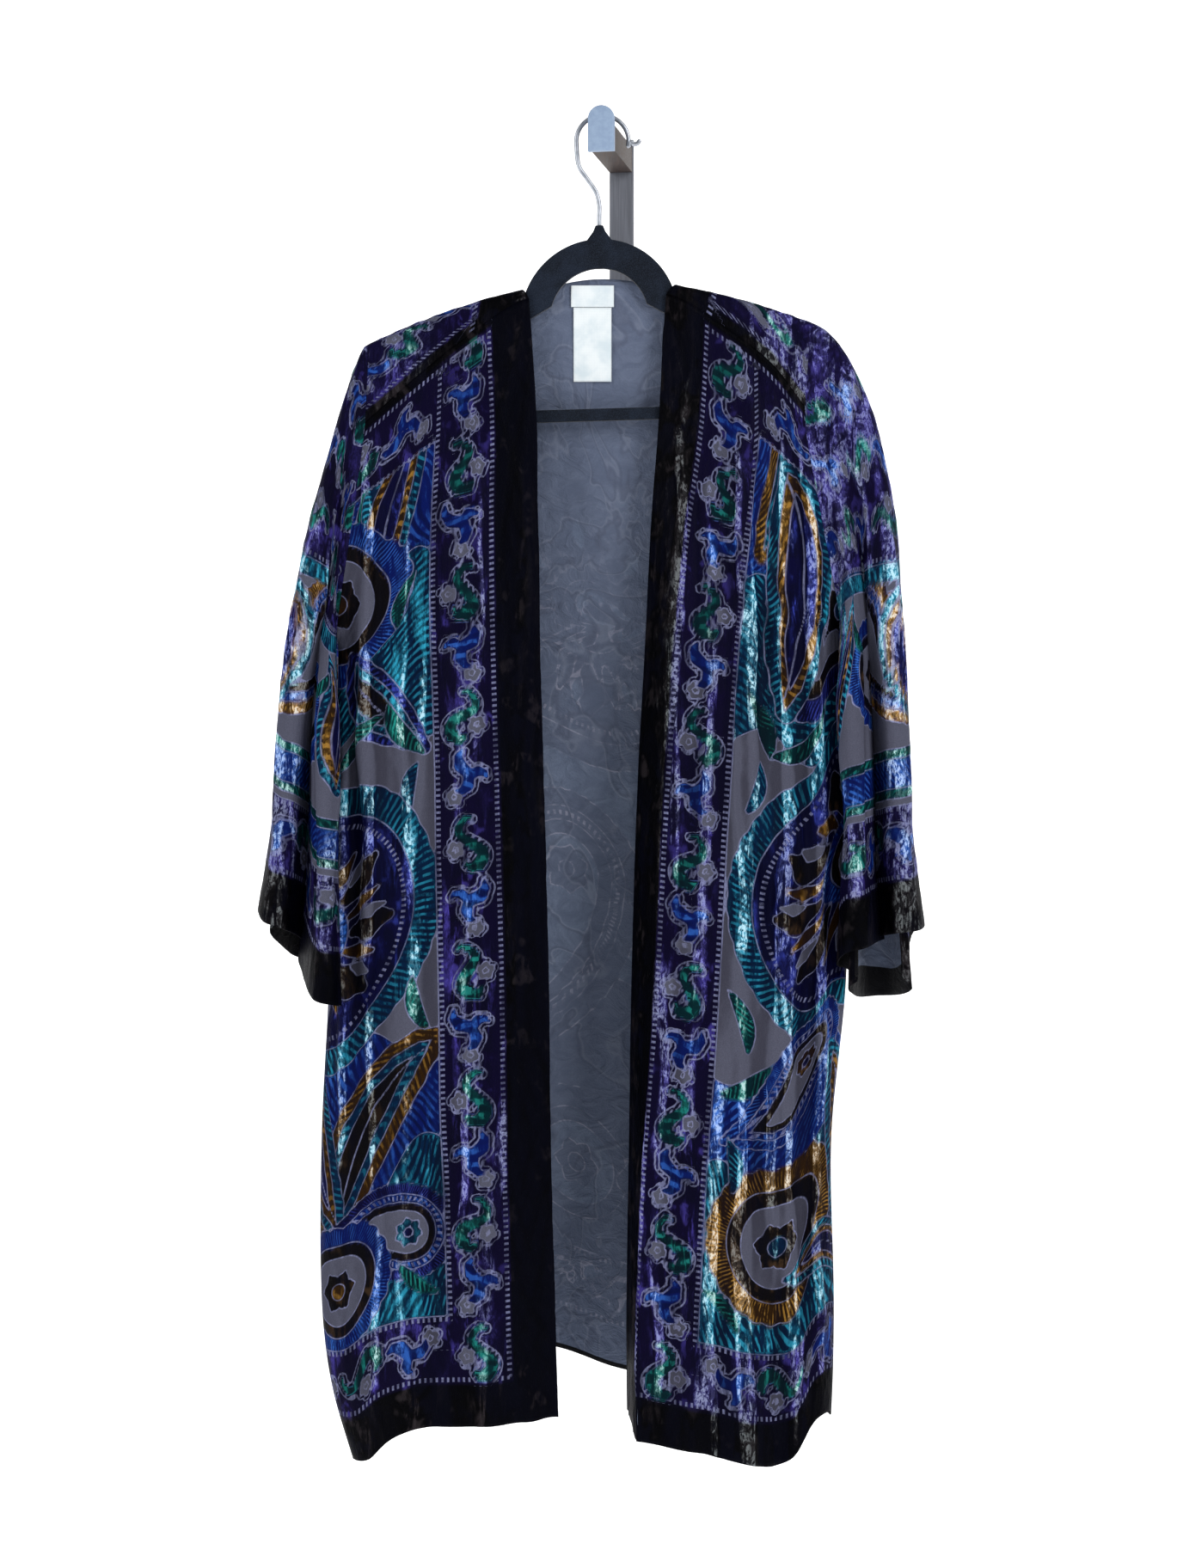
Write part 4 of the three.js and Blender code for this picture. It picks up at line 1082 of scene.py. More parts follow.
def velvet():
    """Crushed pile where the pattern has it, sheer ground elsewhere, with painted highlights and painted
    shade.
    """
    n = Nodes("velvet")
    line, dash, sheer = pattern_masks(n)
    streaks = n.noise(95, (1, 1, 0.16), 5, 0.66, 0.5)
    wide = n.noise(34, (1, 1, 0.22), 3, 0.55, 0.6)
    patches = n.noise(11, (1, 1, 0.5), 3, 0.6, 0.4)
    flakes = n.noise(105, (1, 1, 0.7), 3, 0.62, 1.4)
    fine = n.noise(620, (1, 1, 0.45), 3, 0.7)
    # ridge: how far the cloth stands out, with painted light gains added; it places the painted
    # highlights and painted shade below.
    ridge = n.attribute("ridge")
    tint, stroke_and_highlight = n.attribute("tint", "Color"), n.attribute("stroke_and_highlight", "Color")

    # Painted highlights, where pile that lies over catches the light: at random, and along the folds.
    crushed_pile_highlight = n.times(
        n.step(streaks, 0.5, 0.62),
        n.step(wide, 0.44, 0.64),
        n.step(patches, 0.4, 0.62, 0.1, 0.75),
    )
    folds = n.times(
        n.step(ridge, 0.6, 1.8),
        n.step(streaks, 0.43, 0.56, 0.08, 1.0),
        n.step(patches, 0.34, 0.54, 0.35, 0.95),
        n.step(flakes, 0.42, 0.54, 0.25, 1.05),
    )
    lit = n.times(n.math("MAXIMUM", crushed_pile_highlight, folds), n.step(fine, 0.34, 0.6, 0.35, 1.15))
    lit = n.math("MULTIPLY", lit, n.step(ridge, -1.4, 0.0, 0.2, 1.0), clamp=True)
    # Painted shade in the cloth's hollows, where ridge is low.
    hollow_shade = n.step(ridge, -2.4, -0.4, 0.55, 0.0)

    # Hatching inside the shapes, light and dark strokes in turn.
    uneven = n.times(n.noise(52, (1, 1, 0.8), 2), 7.0)
    wave = n.math("SINE", n.math("MULTIPLY_ADD", n.attribute("streak"), FULL_TURN, uneven))
    broken = n.step(n.noise(150, (1, 1, 0.4), 3, 0.6, 0.4), 0.42, 0.58)
    gathered = n.times(broken, n.step(patches, 0.36, 0.6, 0.4, 1.2))
    light_stroke = n.times(n.step(wave, 0.1, 0.7, 0.0, 0.3), gathered)
    dark_stroke = n.times(n.step(wave, -0.7, 0.0, 0.55, 0.0), n.step(wide, 0.4, 0.6, 0.25, 1.0))
    pile = n.mix(light_stroke, tint, stroke_and_highlight)
    pile = n.mix(lit, pile, stroke_and_highlight)
    # Dark hatch strokes and the painted shade in the hollows, in one dark colour.
    pile = n.mix(n.math("MAXIMUM", dark_stroke, hollow_shade), pile, PILE_DARK_AND_SHADE)

    # Painted highlights: bright flecks on the crests of the folds.
    crest_highlight = n.times(
        n.step(ridge, 0.95, 2.0),
        n.step(streaks, 0.44, 0.53),
        n.step(fine, 0.4, 0.54),
        n.step(flakes, 0.46, 0.56, 0.08, 1.0),
        n.math("MULTIPLY_ADD", stroke_and_highlight, 2.8, 0.14, clamp=True),
    )
    pile = n.mix(crest_highlight, pile, n.mix(0.56, stroke_and_highlight, HIGHLIGHT_WHITE))
    # Outlines and dashes show less at random, and less in the pile's painted shade than where it is
    # painted lit.
    seen = n.times(
        n.step(streaks, 0.34, 0.6, 0.25, 1.0),
        n.step(fine, 0.3, 0.6, 0.5, 1.0),
        n.math("MULTIPLY_ADD", lit, 0.45, 0.66, clamp=True),
    )
    pile = n.mix(n.times(n.math("MAXIMUM", line, dash), seen), pile, OUTLINE)

    weave = n.noise(1400, (1, 1, 1), 1, 0.5)
    bare = n.mix(n.step(weave, 0.35, 0.65, 0.0, 0.4), SHEER, SHEER_LIGHT)
    bare = n.mix(n.step(ridge, -1.8, 1.2, 0.6, 0.0), bare, SHEER_SHADE)
    bare = n.mix(n.times(line, seen), bare, OUTLINE)
    n.set(Base_Color=n.mix(sheer, pile, bare), Roughness=n.math("MULTIPLY_ADD", sheer, 0.3, 0.5))
    n.set(Sheen_Weight=0.012, Sheen_Roughness=0.2, Sheen_Tint=(0.3, 0.3, 0.9), Specular_IOR_Level=0.028)
    raised = n.math("SUBTRACT", 1.0, n.math("MAXIMUM", sheer, n.math("MAXIMUM", line, dash)))
    height = n.math("MULTIPLY_ADD", raised, 0.5, streaks)
    n.bump(n.math("MULTIPLY_ADD", fine, 0.25, height), 0.8, 0.002)
    return n.material


def chiffon():
    """The cloth's inside: grey ground, with the pattern faintly seen low down."""
    n = Nodes("chiffon_inside")
    line, dash, _ = pattern_masks(n)
    crinkle = n.noise(46, (1, 1, 1.3), 4, 0.6, 1.6)
    weave = n.noise(900, (1, 1, 1), 1, 0.5)
    base = n.mix(n.step(crinkle, 0.3, 0.75), LINING, LINING_LIGHT)
    base = n.mix(n.step(weave, 0.3, 0.7, 0.0, 0.2), base, LINING_WEAVE)
    # Crinkle lines, each painted with a highlight along it and shade beside it.
    wrinkle = n.math("SUBTRACT", n.noise(15, (1, 1, 0.8), 2, 0.5, 1.6), 0.5)
    base = n.mix(n.step(n.math("ABSOLUTE", wrinkle), 0.0, 0.022, 0.5, 0.0), base, WRINKLE_HIGHLIGHT)
    beside = n.math("ABSOLUTE", n.math("SUBTRACT", wrinkle, 0.034))
    base = n.mix(n.step(beside, 0.0, 0.03, 0.4, 0.0), base, WRINKLE_SHADE)
    shade = n.mix(n.step(n.attribute("ground"), -1, 1, 0.3, 0.0), base, LINING_BACKED)
    ghost = n.times(n.math("MAXIMUM", line, dash), n.step(crinkle, 0.44, 0.6, 0.06, 0.5))
    low = n.step(n.attribute("height"), 540, 680, 1.0, 0.1)
    shade = n.mix(n.times(ghost, low), shade, LINING_GHOST)
    turned = n.step(n.attribute("turned"), -0.5, 0.5, 1.0, 0.0)
    n.set(Base_Color=n.mix(turned, shade, TURNED_HEM), Roughness=0.82)
    n.set(Sheen_Weight=0.05, Sheen_Roughness=0.5, Specular_IOR_Level=0.12)
    n.bump(n.math("MULTIPLY_ADD", weave, 0.08, crinkle), 0.8, 0.0035)
    return n.material


def tape():
    """The labels' woven tape."""
    n = Nodes("label_tape")
    place = n.add("ShaderNodeTexCoord")
    waves = []
    for direction in ("X", "Z"):
        wave = n.add("ShaderNodeTexWave", bands_direction=direction)
        wave.inputs["Scale"].default_value = 300
        n.tree.links.new(place.outputs["Object"], wave.inputs["Vector"])
        waves.append(wave.outputs["Fac"])
    weave = n.times(*waves)
    soft = n.step(n.noise(60, (1, 1, 1), 3), 0.35, 0.7)
    base = n.mix(soft, linear((232, 238, 240)), linear((208, 220, 226)))
    n.set(Base_Color=n.mix(n.times(weave, 0.25), base, linear((186, 198, 206))), Roughness=0.7)
    n.set(Sheen_Weight=0.1)
    n.bump(weave, 0.3, 0.0004)
    return n.material


def flock():
    n = Nodes("flock")
    fine, broad = n.noise(1500, detail=2), n.noise(45, detail=3)
    base = n.mix(n.step(broad, 0.35, 0.7), linear((10, 15, 24)), linear((22, 29, 42)))
    base = n.mix(n.step(fine, 0.4, 0.75, 0.0, 0.5), base, linear((48, 58, 74)))
    n.set(Base_Color=base, Roughness=0.95)
    n.set(Sheen_Weight=0.25, Sheen_Roughness=0.4, Specular_IOR_Level=0.15)
    n.bump(fine, 0.5, 0.0005)
    return n.material


def metal(name, dark, bright, roughness, metallic, stretch, strength=0.15):
    n = Nodes(name)
    brushed, broad = n.noise(260, stretch, 3), n.noise(30, detail=4)
    base = n.mix(n.step(brushed, 0.3, 0.7), linear(dark), linear(bright))
    base = n.mix(n.step(broad, 0.45, 0.75, 0.0, 0.35), base, linear(bright))
    rough = n.step(brushed, 0.3, 0.7, roughness, roughness + 0.12)
    n.set(Base_Color=base, Roughness=rough, Metallic=metallic)
    n.bump(brushed, strength, 0.0003)
    return n.material


def plain(name, colour):
    n = Nodes(name)
    grain = n.noise(3, detail=2)
    n.set(Base_Color=n.mix(grain, colour, tuple(0.985 * c for c in colour)), Roughness=0.9)
    n.set(Specular_IOR_Level=0.1)
    return n.material


VELVET, CHIFFON, TAPE, FLOCK = velvet(), chiffon(), tape(), flock()
CHROME = metal("chrome", (158, 163, 172), (186, 190, 198), 0.3, 0.9, (1, 1, 1), 0.03)
BRONZE = metal("bronze", (44, 34, 31), (70, 54, 47), 0.5, 0.1, (4, 0.1, 4))
STEEL = metal("steel", (100, 102, 110), (116, 119, 128), 0.45, 0.3, (3, 3, 0.1))
PAINT = metal("grey_paint", (134, 154, 182), (144, 164, 190), 0.42, 0.0, (1, 1, 1), 0.05)

# ---- Meshes ----


def place(points):
    return np.asarray(points) * MM + SEAT


def make_object(name, points, faces, materials, face_materials=None, fields=None):
    mesh = bpy.data.meshes.new(name)
    mesh.from_pydata(place(points).tolist(), [], faces if isinstance(faces, list) else faces.tolist())
    for material in materials:
        mesh.materials.append(material)
    if face_materials is not None:
        mesh.polygons.foreach_set("material_index", face_materials)
    mesh.shade_smooth()
    for field, values in (fields or {}).items():
        if values.ndim == 2:
            colour = np.concatenate([values, np.ones((len(values), 1))], 1)
            mesh.attributes.new(field, "FLOAT_COLOR", "POINT").data.foreach_set("color", colour.ravel())
        else:
            mesh.attributes.new(field, "FLOAT", "POINT").data.foreach_set("value", values)
    thing = bpy.data.objects.new(name, mesh)
    bpy.context.scene.collection.objects.link(thing)
    return thing


def shell(name, grid, outward, fields, present=None, closed=False, thick=CLOTH, materials=None):
    """A closed thin wall: the grid is its outer face. present says which of its cells are there."""
    rows, columns = grid.shape[:2]
    index = np.arange(rows * columns).reshape(rows, columns)
    right = np.roll(index, -1, 1) if closed else index[:, 1:]
    left = index if closed else index[:, :-1]
    cells = np.stack([left[:-1], right[:-1], right[1:], left[1:]], -1)
    if present is not None:
        cells = cells[present[:, : cells.shape[1]]]
    quads = cells.reshape(-1, 4)
    if outward < 0:
        quads = quads[:, ::-1]
    used, flat = np.unique(quads, return_inverse=True)
    quads = flat.reshape(-1, 4)
    count = len(used)
    edges = np.concatenate([quads[:, [i, (i + 1) % 4]] for i in range(4)])
    forward, backward = edges[:, 0] * count + edges[:, 1], edges[:, 1] * count + edges[:, 0]
    rim = edges[~np.isin(forward, backward)]
    rims = np.stack([rim[:, 1], rim[:, 0], rim[:, 0] + count, rim[:, 1] + count], 1)
    faces = np.concatenate([quads, rims, quads[:, ::-1] + count])
    which = np.zeros(len(faces), np.int32)
    which[len(quads) + len(rims):] = 1
    normal = normals_of(grid, outward, closed)
    outer = grid.reshape(-1, 3)[used]
    inner = (grid - normal * thick).reshape(-1, 3)[used]
    layers = {}
    for field, values in fields.items():
        values = values.reshape(rows * columns, -1)[used]
        values = np.concatenate([values, values])
        layers[field] = values if values.shape[1] == 3 else values[:, 0]
    points = np.concatenate([outer, inner])
    return make_object(name, points, faces, materials or [VELVET, CHIFFON], which, layers)


def ride(thing, *nodes, slot):
    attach(thing, "root")
    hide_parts(*nodes)
    return thing


def edge_fade(rows, columns, reach, closed=False):
    """Nought at the grid's first row and last column, where neighbours meet it, and one inside."""
    r, c = np.arange(rows)[:, None], np.arange(columns)[None, :]
    fade = np.ones((rows, columns)) * smooth(r / reach)
    if not closed:
        fade = fade * smooth((columns - 1 - c) / reach)
    return fade


# Sets of crushed creases: pitch, lean, height, the mean taken off, and whether they run across.
CRUSH = (
    (17, 0.5, 1.1, 0.35, False),
    (46, 0.35, 1.7, 0.3, False),
    (34, 0.6, 0.8, 0.3, True),
)


def crushed(grid, outward, closed, a, b, seed, amount, fade):
    """The cloth with its crushed creases raised, amount times their own height."""
    lift = 0
    for i, (pitch, lean, height, mean, across) in enumerate(CRUSH):
        u, v = (b, a) if across else (a, b)
        lift = lift + height * (creases(u, v, seed + i, pitch, lean) - mean)
    return grid + normals_of(grid, outward, closed) * (amount * lift * fade)[..., None]


def build_front(side, field, seed):
    """A front with its band. a runs from the opening edge, b up from the hem, run down from the seam."""
    base = front_grid(side)
    a = run_along(base, 1)
    run = base[:1, :, 2] - base[..., 2]
    b = run[-1:] - run
    outward = 1 if side < 0 else -1
    rows, columns = a.shape
    fade = edge_fade(rows, columns, 7) * smooth(np.arange(columns)[None, :] / 2 + 0.3)
    pressed = 1.25 * crease_height(base[..., 0], -base[..., 2]) * fade
    grid = base + normals_of(base, outward) * pressed[..., None]
    grid = crushed(grid, outward, False, a, b, seed, 1.0, fade)
    canvas = Canvas(a, b)
    canvas.waves(
        (572 + 16 * np.sin(a / 17 + side) - b, "teal", 0.7 * a + b + 5 * np.sin(a / 9)),
        (700 + 18 * np.sin(a / 13) - b, "blue", a - 0.5 * b + 5 * np.sin(b / 12)),
        (b - 318 - 20 * np.sin(a / 21), "blue", a - 0.6 * b + 6 * np.sin(b / 17)),
        (b - 214 - 24 * np.sin(a / 17 + 2), "teal", a + 0.5 * b + 5 * np.sin(a / 8)),
    )
    draw_field(canvas, field)
    canvas.plain(run - SHOULDER_BAND, "navy")
    motif_row(canvas, run - 38, a - BORDER_END, (run < SHOULDER_BAND) & (a > BORDER_END), 1)
    canvas.dashes(run - SHOULDER_BAND, a)
    nearest = np.minimum(a, b)
    border(canvas, nearest, np.where(a < b, b, a), BAND, BORDER)
    motif_row(canvas, a - BORDER_MIDDLE, b - BAND, (a < MOTIFS_END) & (b > BAND), 0)
    low = (a > BORDER_END) & (b > BAND) & (b < MOTIFS_END)
    motif_row(canvas, b - BORDER_MIDDLE, a - BORDER_END, low, 1)
    canvas.plain(np.where(a > BAND, run - 8, FAR), "black")
    canvas.dashes(run - 10.5, a, a > BAND + 4)
    fields = canvas.fields()
    fields["turned"] = nearest - 3.0
    fields["height"] = b
    # ridge places the velvet's painted highlights and shade. The left front's field and upper band are
    # painted with more highlight, both hems and the right band with less, and each pressed crease with a
    # highlight along it.
    band = smooth((520 - run) / 260) * 1.3 - 0.6 if side > 0 else -1.5
    on_band = np.where(a < BAND, band, 0.0)
    on_hem = np.where((b < BAND) & (a > BAND), -0.9, 0.0)
    on_field = smooth((a - 80) / 20) if side > 0 else 0.0
    stands = ridges_of(grid, outward, 7) + 0.3 * np.clip(pressed, 0, None)
    fields["ridge"] = stands * (1.15 + 0.55 * on_field) + 0.25 * on_field + on_band + on_hem
    name = "front_right" if side < 0 else "front_left"
    return base, shell(name + "_cloth", grid, outward, fields)


def build_back(seed):
    """The back with both flaps. a runs from its middle line, b up from the hem and over the shoulder."""
    base = back_grid()
    column = np.linspace(0, CAD_BACK_CELLS, BACK_CELLS + 1)
    across = run_along(base, 1)
    a = across - across[:, BACK_CELLS // 2 : BACK_CELLS // 2 + 1]
    body_rows = BACK_LOW + BACK_UP
    b = run_up(base, body_rows)
    at_neck = b[body_rows : body_rows + 1]
    from_edge = b[-1:] - b
    rows, columns = a.shape
    neck_start, neck_end = CAD_SIDE_CELLS, CAD_SIDE_CELLS + CAD_NECK_CELLS
    on_flap = (column <= neck_start) | (column >= neck_end)
    r, c = np.arange(rows)[:, None], np.arange(columns)[None, :]
    fade = smooth(c / 7) * smooth((columns - 1 - c) / 7) * smooth((rows - 1 - r) / 5)
    grid = crushed(base, -1, False, a, b, seed, 0.9, fade)
    canvas = Canvas(a, b)
    wavy = 20 * np.sin(a / 27) + 7 * np.sin(a / 11)
    canvas.waves(
        (674 + wavy - b, "blue", 0.6 * a + b + 5 * np.sin(a / 9)),
        (b - 300 - wavy, "teal", a - 0.6 * b + 6 * np.sin(b / 17)),
        (168 + 16 * np.sin(b / 23) - np.abs(a), "blue", a + 0.7 * b + 5 * np.sin(b / 13)),
    )
    draw_field(canvas, FIELD_BACK)
    top = np.where(on_flap[None, :], from_edge, at_neck - b + 60)
    canvas.plain(top - BACK_BAND, "navy")
    motif_row(canvas, top - 40, a + 4, top < BACK_BAND, 0)
    canvas.dashes(top - BACK_BAND, a)
    border(canvas, b, a, BAND, BORDER)
    motif_row(canvas, b - BORDER_MIDDLE, a, (b > BAND) & (b < MOTIFS_END), 1)
    canvas.plain(np.where(on_flap[None, :], from_edge - 9, FAR), "black")
    canvas.dashes(from_edge - 11.5, a, on_flap[None, :])
    neck_edge = np.where(column <= neck_start, neck_start - column, column - neck_end)
    neck_mm = np.where(neck_edge >= 0, neck_edge * NECK_CELL_MM, FAR)[None, :] + np.zeros_like(a)
    flap_part = r > body_rows - 2
    canvas.plain(np.where(flap_part, neck_mm - NECK_BAND, FAR), "black")
    canvas.dashes(neck_mm - NECK_BAND - 3, from_edge, flap_part)
    canvas.plain(np.where(on_flap[None, :], FAR, at_neck - b - 9), "black")
    fields = canvas.fields()
    fields["turned"] = b - 4.0
    fields["height"] = b
    # Painted highlights on both shoulders, added to ridge, which places the velvet's painted highlights
    # and shade.
    x = base[..., 0]
    shoulder = smooth((x - 84) / 50) * flap_part
    other_shoulder = smooth((-105 - x) / 40) * flap_part
    fields["ridge"] = ridges_of(grid, -1, 5) + 1.7 * shoulder + 1.2 * other_shoulder
    present = np.ones((rows - 1, columns - 1), bool)
    fine = BACK_CELLS / CAD_BACK_CELLS
    present[body_rows:, int(neck_start * fine) : int(neck_end * fine)] = False
    return base, shell("back_cloth", grid, -1, fields, present=present)


def build_sleeve(side, back, front, seed):
    """A sleeve. a runs round it, b up from the cuff, down is the share of its length from the armhole."""
    base, turn = sleeve_grid(side, back, front)
    outward = -1 if side < 0 else 1
    around = run_along(np.concatenate([base, base[:, :1]], 1), 1)
    a = turn * around[:, -1:]
    run = run_along(base, 0)
    b = run[-1:] - run
    rows, columns = a.shape
    fade = edge_fade(rows, columns, 6, closed=True)
    pressed = np.zeros(a.shape)
    down = run / run[-1:]
    for at, height, top, bottom in SLEEVE_CREASES:
        t = (down - top) / (bottom - top)
        near = np.abs((turn + 0.02 * np.sin(9 * down + 30 * at) - at + 0.5) % 1 - 0.5)
        fades = smooth(t / FOLD_END) * smooth((1 - t) / CREASE_END)
        pressed += height * fades * np.exp(-((near / SLEEVE_CREASE_HALF) ** 2))
    normal = normals_of(base, outward, True)
    grid = base + normal * (pressed * fade + 0.9 * smooth(down / 0.1))[..., None]
    grid = crushed(grid, outward, True, a, b, seed, 0.75, fade)
    canvas = Canvas(a, b)
    draw_field(canvas, FIELD_SLEEVE)
    canvas.fill(np.abs(b - 128) - 20, "green", streak=(a + b) / 8)
    canvas.fill(np.abs(b - 128) - 12, "blue", streak=(a - b) / 6)
    canvas.fill(np.abs(b - 291) - 8, "teal", streak=a / 6)
    canvas.plain(298 - b, "navy")
    for row in range(3):
        up = b - SLEEVE_PITCH * row
        inside = (up > SLEEVE_MOTIFS) & (up < SLEEVE_MOTIFS + SLEEVE_PITCH)
        motif_row(canvas, up - SLEEVE_MIDDLE, a + 20 * row, inside, row)
    canvas.dashes(b - 302, a)
    border(canvas, b, a, CUFF_BAND, CUFF_BORDER)
    motif_row(canvas, b - CUFF_MIDDLE, a, (b > CUFF_BAND + 2) & (b < CUFF_END), 1)
    fields = canvas.fields()
    fields["turned"] = b - 24.0 - 2 * np.sin(a / 11)
    fields["height"] = b + 500
    # ridge places the velvet's painted highlights and shade. The sleeve's top is painted with more
    # highlight, the left one's the most, and the cuff with less; hollows take more painted shade than
    # crests take highlight, and pressed creases add a highlight.
    top = 1.6 * smooth((0.34 - down) / 0.25) if side > 0 else 0.9 * smooth((0.24 - down) / 0.2)
    stands = ridges_of(grid, outward, 5, closed=True)
    fields["ridge"] = np.where(stands > 0, 0.42, 0.9) * stands + 0.3 * np.clip(pressed, 0, None) + top
    fields["ridge"] -= np.where(b < CUFF_BAND, 0.9, 0.0)
    name = "sleeve_right" if side < 0 else "sleeve_left"
    return shell(name + "_cloth", grid, outward, fields, closed=True)


def sheet(thing, node):
    ride(thing, node, slot="velvet")


back_base, back_cloth = build_back(31)
right_base, right_cloth = build_front(-1, FIELD_RIGHT_FRONT, 11)
left_base, left_cloth = build_front(1, FIELD_LEFT_FRONT, 21)
sleeve_right_cloth = build_sleeve(-1, back_base, right_base, 41)
sleeve_left_cloth = build_sleeve(1, back_base, left_base, 51)

sheet(back_cloth, "back")
sheet(right_cloth, "front_right")
sheet(left_cloth, "front_left")
sheet(sleeve_right_cloth, "sleeve_right")
sheet(sleeve_left_cloth, "sleeve_left")

# ---- Labels ----
LABEL_THICK, LABEL_GAP, LABEL_RIPPLE, RIPPLE_ROOM = 0.7, 0.5, 0.35, 0.3


def label_grid(left, right, top, bottom):
    """A small sheet that hangs just inside the back."""
    x = np.linspace(left, right, 25)[None, :]
    down = np.linspace(top, bottom, 41)[:, None]
    x, down = np.broadcast_arrays(x, down)
    y = depth_at(x, down, angle_of(x, down), BODY.back(down), BACK_FOLDS)
    y = y - CAD_CLOTH - LABEL_GAP - RIPPLE_ROOM
    ripple = LABEL_RIPPLE * np.sin(x / 7 + down / 19) * smooth((down - top) / 14)
    return np.stack([x, y + ripple, -down], -1)


def build_label(name, node, corners):
    grid = label_grid(*corners)
    thing = shell(name, grid, 1, {}, thick=LABEL_THICK, materials=[TAPE, TAPE])
    ride(thing, node, slot="label")
    return thing


build_label("neck_label_tape", "neck_label", (-23, 12, 136, 153.6))
build_label("care_label_tape", "care_label", (-21, 10, 154, 214))

# ---- Hanger, wire and wall hook ----
SHARP_ANGLE = math.radians(38)
WELD_WITHIN = 1e-6


def arc(x, z, radius, start, stop, step):
    """Points round a centre, in whole degrees from start up to but without stop."""
    turns = [math.radians(degrees) for degrees in range(start, stop, step)]
    return [(x + radius * math.cos(turn), z + radius * math.sin(turn)) for turn in turns]


def evaluated(thing):
    """A new mesh of what an object shows."""
    graph = bpy.context.evaluated_depsgraph_get()
    return bpy.data.meshes.new_from_object(thing.evaluated_get(graph))


def plate(name, loops, thick, bevel, material, move=lambda points: points):
    """A plate with rounded edges: closed loops of (x, z), thick along y. move sets its points."""
    curve = bpy.data.curves.new(name, "CURVE")
    curve.dimensions = "2D"
    curve.fill_mode = "BOTH"
    curve.extrude = (thick / 2 - bevel) * MM
    curve.bevel_depth = bevel * MM
    curve.bevel_resolution = 3
    curve.offset = -bevel * MM
    for loop in loops:
        spline = curve.splines.new("POLY")
        spline.points.add(len(loop) - 1)
        for point, (x, z) in zip(spline.points, loop):
            point.co = (x * MM, z * MM, 0, 1)
        spline.use_cyclic_u = True
    holder = bpy.data.objects.new(name, curve)
    bpy.context.scene.collection.objects.link(holder)
    mesh = evaluated(holder)
    bpy.data.objects.remove(holder)
    points = np.array([v.co for v in mesh.vertices]) / MM
    points = move(np.stack([points[:, 0], -points[:, 2], points[:, 1]], 1))
    mesh.vertices.foreach_set("co", place(points).ravel())
    mesh.materials.clear()
    mesh.materials.append(material)
    mesh.name = name
    mesh.shade_smooth()
    thing = bpy.data.objects.new(name, mesh)
    bpy.context.scene.collection.objects.link(thing)
    weld = thing.modifiers.new("weld", "WELD")
    weld.merge_threshold = WELD_WITHIN
    thing.data = evaluated(thing)
    thing.modifiers.clear()
    thing.data.set_sharp_from_angle(angle=SHARP_ANGLE)
    return thing


def tilted(x, down):
    """A point of the hanger's outline, which hangs a little askew."""
    return (x, -down + HANGER_TILT * x)


def mirrored(half):
    """A whole loop from its right half."""
    other = [(-x, z - 2 * HANGER_TILT * x) for x, z in half]
    return half + other[::-1]


ARCH_DOWN, ARCH_OUTER, ARCH_INNER = 163, 64, 40
ARM_END, ARM_TALL = 178, 23
WINDOW_CORNER = (
    (178, 208.5), (181, 212), (182.7, 218), (183, 224), (182, 230), (178, 235), (172, 237)
)


def hanger_loops():
    """The hanger's right half, mirrored: its outer edge, and the window over the trouser bar."""
    outer = [tilted(3, 88), tilted(5, 93), tilted(10, ARCH_DOWN - math.sqrt(ARCH_OUTER**2 - 100))]
    outer += [tilted(*point) for point in arc(0, ARCH_DOWN, ARCH_OUTER, -78, -17, 4)]
    outer += [tilted(x, float(arm_down(x))) for x in np.linspace(66, ARM_END, 29)]
    start = float(arm_down(ARM_END))
    for t in np.linspace(0, 1, 12)[1:]:
        parts = (1 - t) ** 3, 3 * (1 - t) ** 2 * t, 3 * (1 - t) * t**2, t**3
        x = parts[0] * ARM_END + parts[1] * 186 + parts[2] * 197 + parts[3] * 197
        down = parts[0] * start + parts[1] * (start + 4) + parts[2] * 198 + parts[3] * 214
        outer.append(tilted(x, down))
    outer += [tilted(*point) for point in arc(185, 235, 12, 0, 91, 15)]
    inner = [tilted(*point) for point in arc(0, ARCH_DOWN, ARCH_INNER, -90, -14, 5)]
    inner += [tilted(x, float(arm_down(x)) + ARM_TALL) for x in np.linspace(56, 172, 20)]
    inner += [tilted(*point) for point in WINDOW_CORNER]
    return [mirrored(outer), mirrored(inner[1:])]


def build_hanger():
    ride(plate("hanger_flocked", hanger_loops(), 6, 1.3, FLOCK), "hanger", slot="flock")


WIRE_R, LOOP_X, LOOP_R = 1.8, 2.6, 21.4


def wire_path():
    """From the hanger's neck up, over the wall hook's arm, to the free tip."""
    stem = [(0, -88.3), (0, -80), (0, -71), (-2.5, -61), (-9, -51), (-16.5, -39.5)]
    loop = arc(LOOP_X, -LOOP_R + WIRE_R, LOOP_R, 190, -11, -20)
    return stem + loop + [(25.3, -19.6), (28.4, -21.6), (31.4, -20.8), (33.2, -17.6)]


def catmull(path, steps):
    """A smooth line through the points of a path."""
    p = np.array(path, float)
    knots = np.concatenate([[0], np.cumsum(np.linalg.norm(np.diff(p, axis=0), axis=1) ** 0.5)])
    at = np.linspace(0, knots[-1], steps)
    slope = np.gradient(p, knots, axis=0)
    i = np.clip(np.searchsorted(knots, at, side="right") - 1, 0, len(p) - 2)
    span = (knots[i + 1] - knots[i])[:, None]
    t = (at - knots[i])[:, None] / span
    return cubic(t, span, p[i], p[i + 1], slope[i], slope[i + 1])


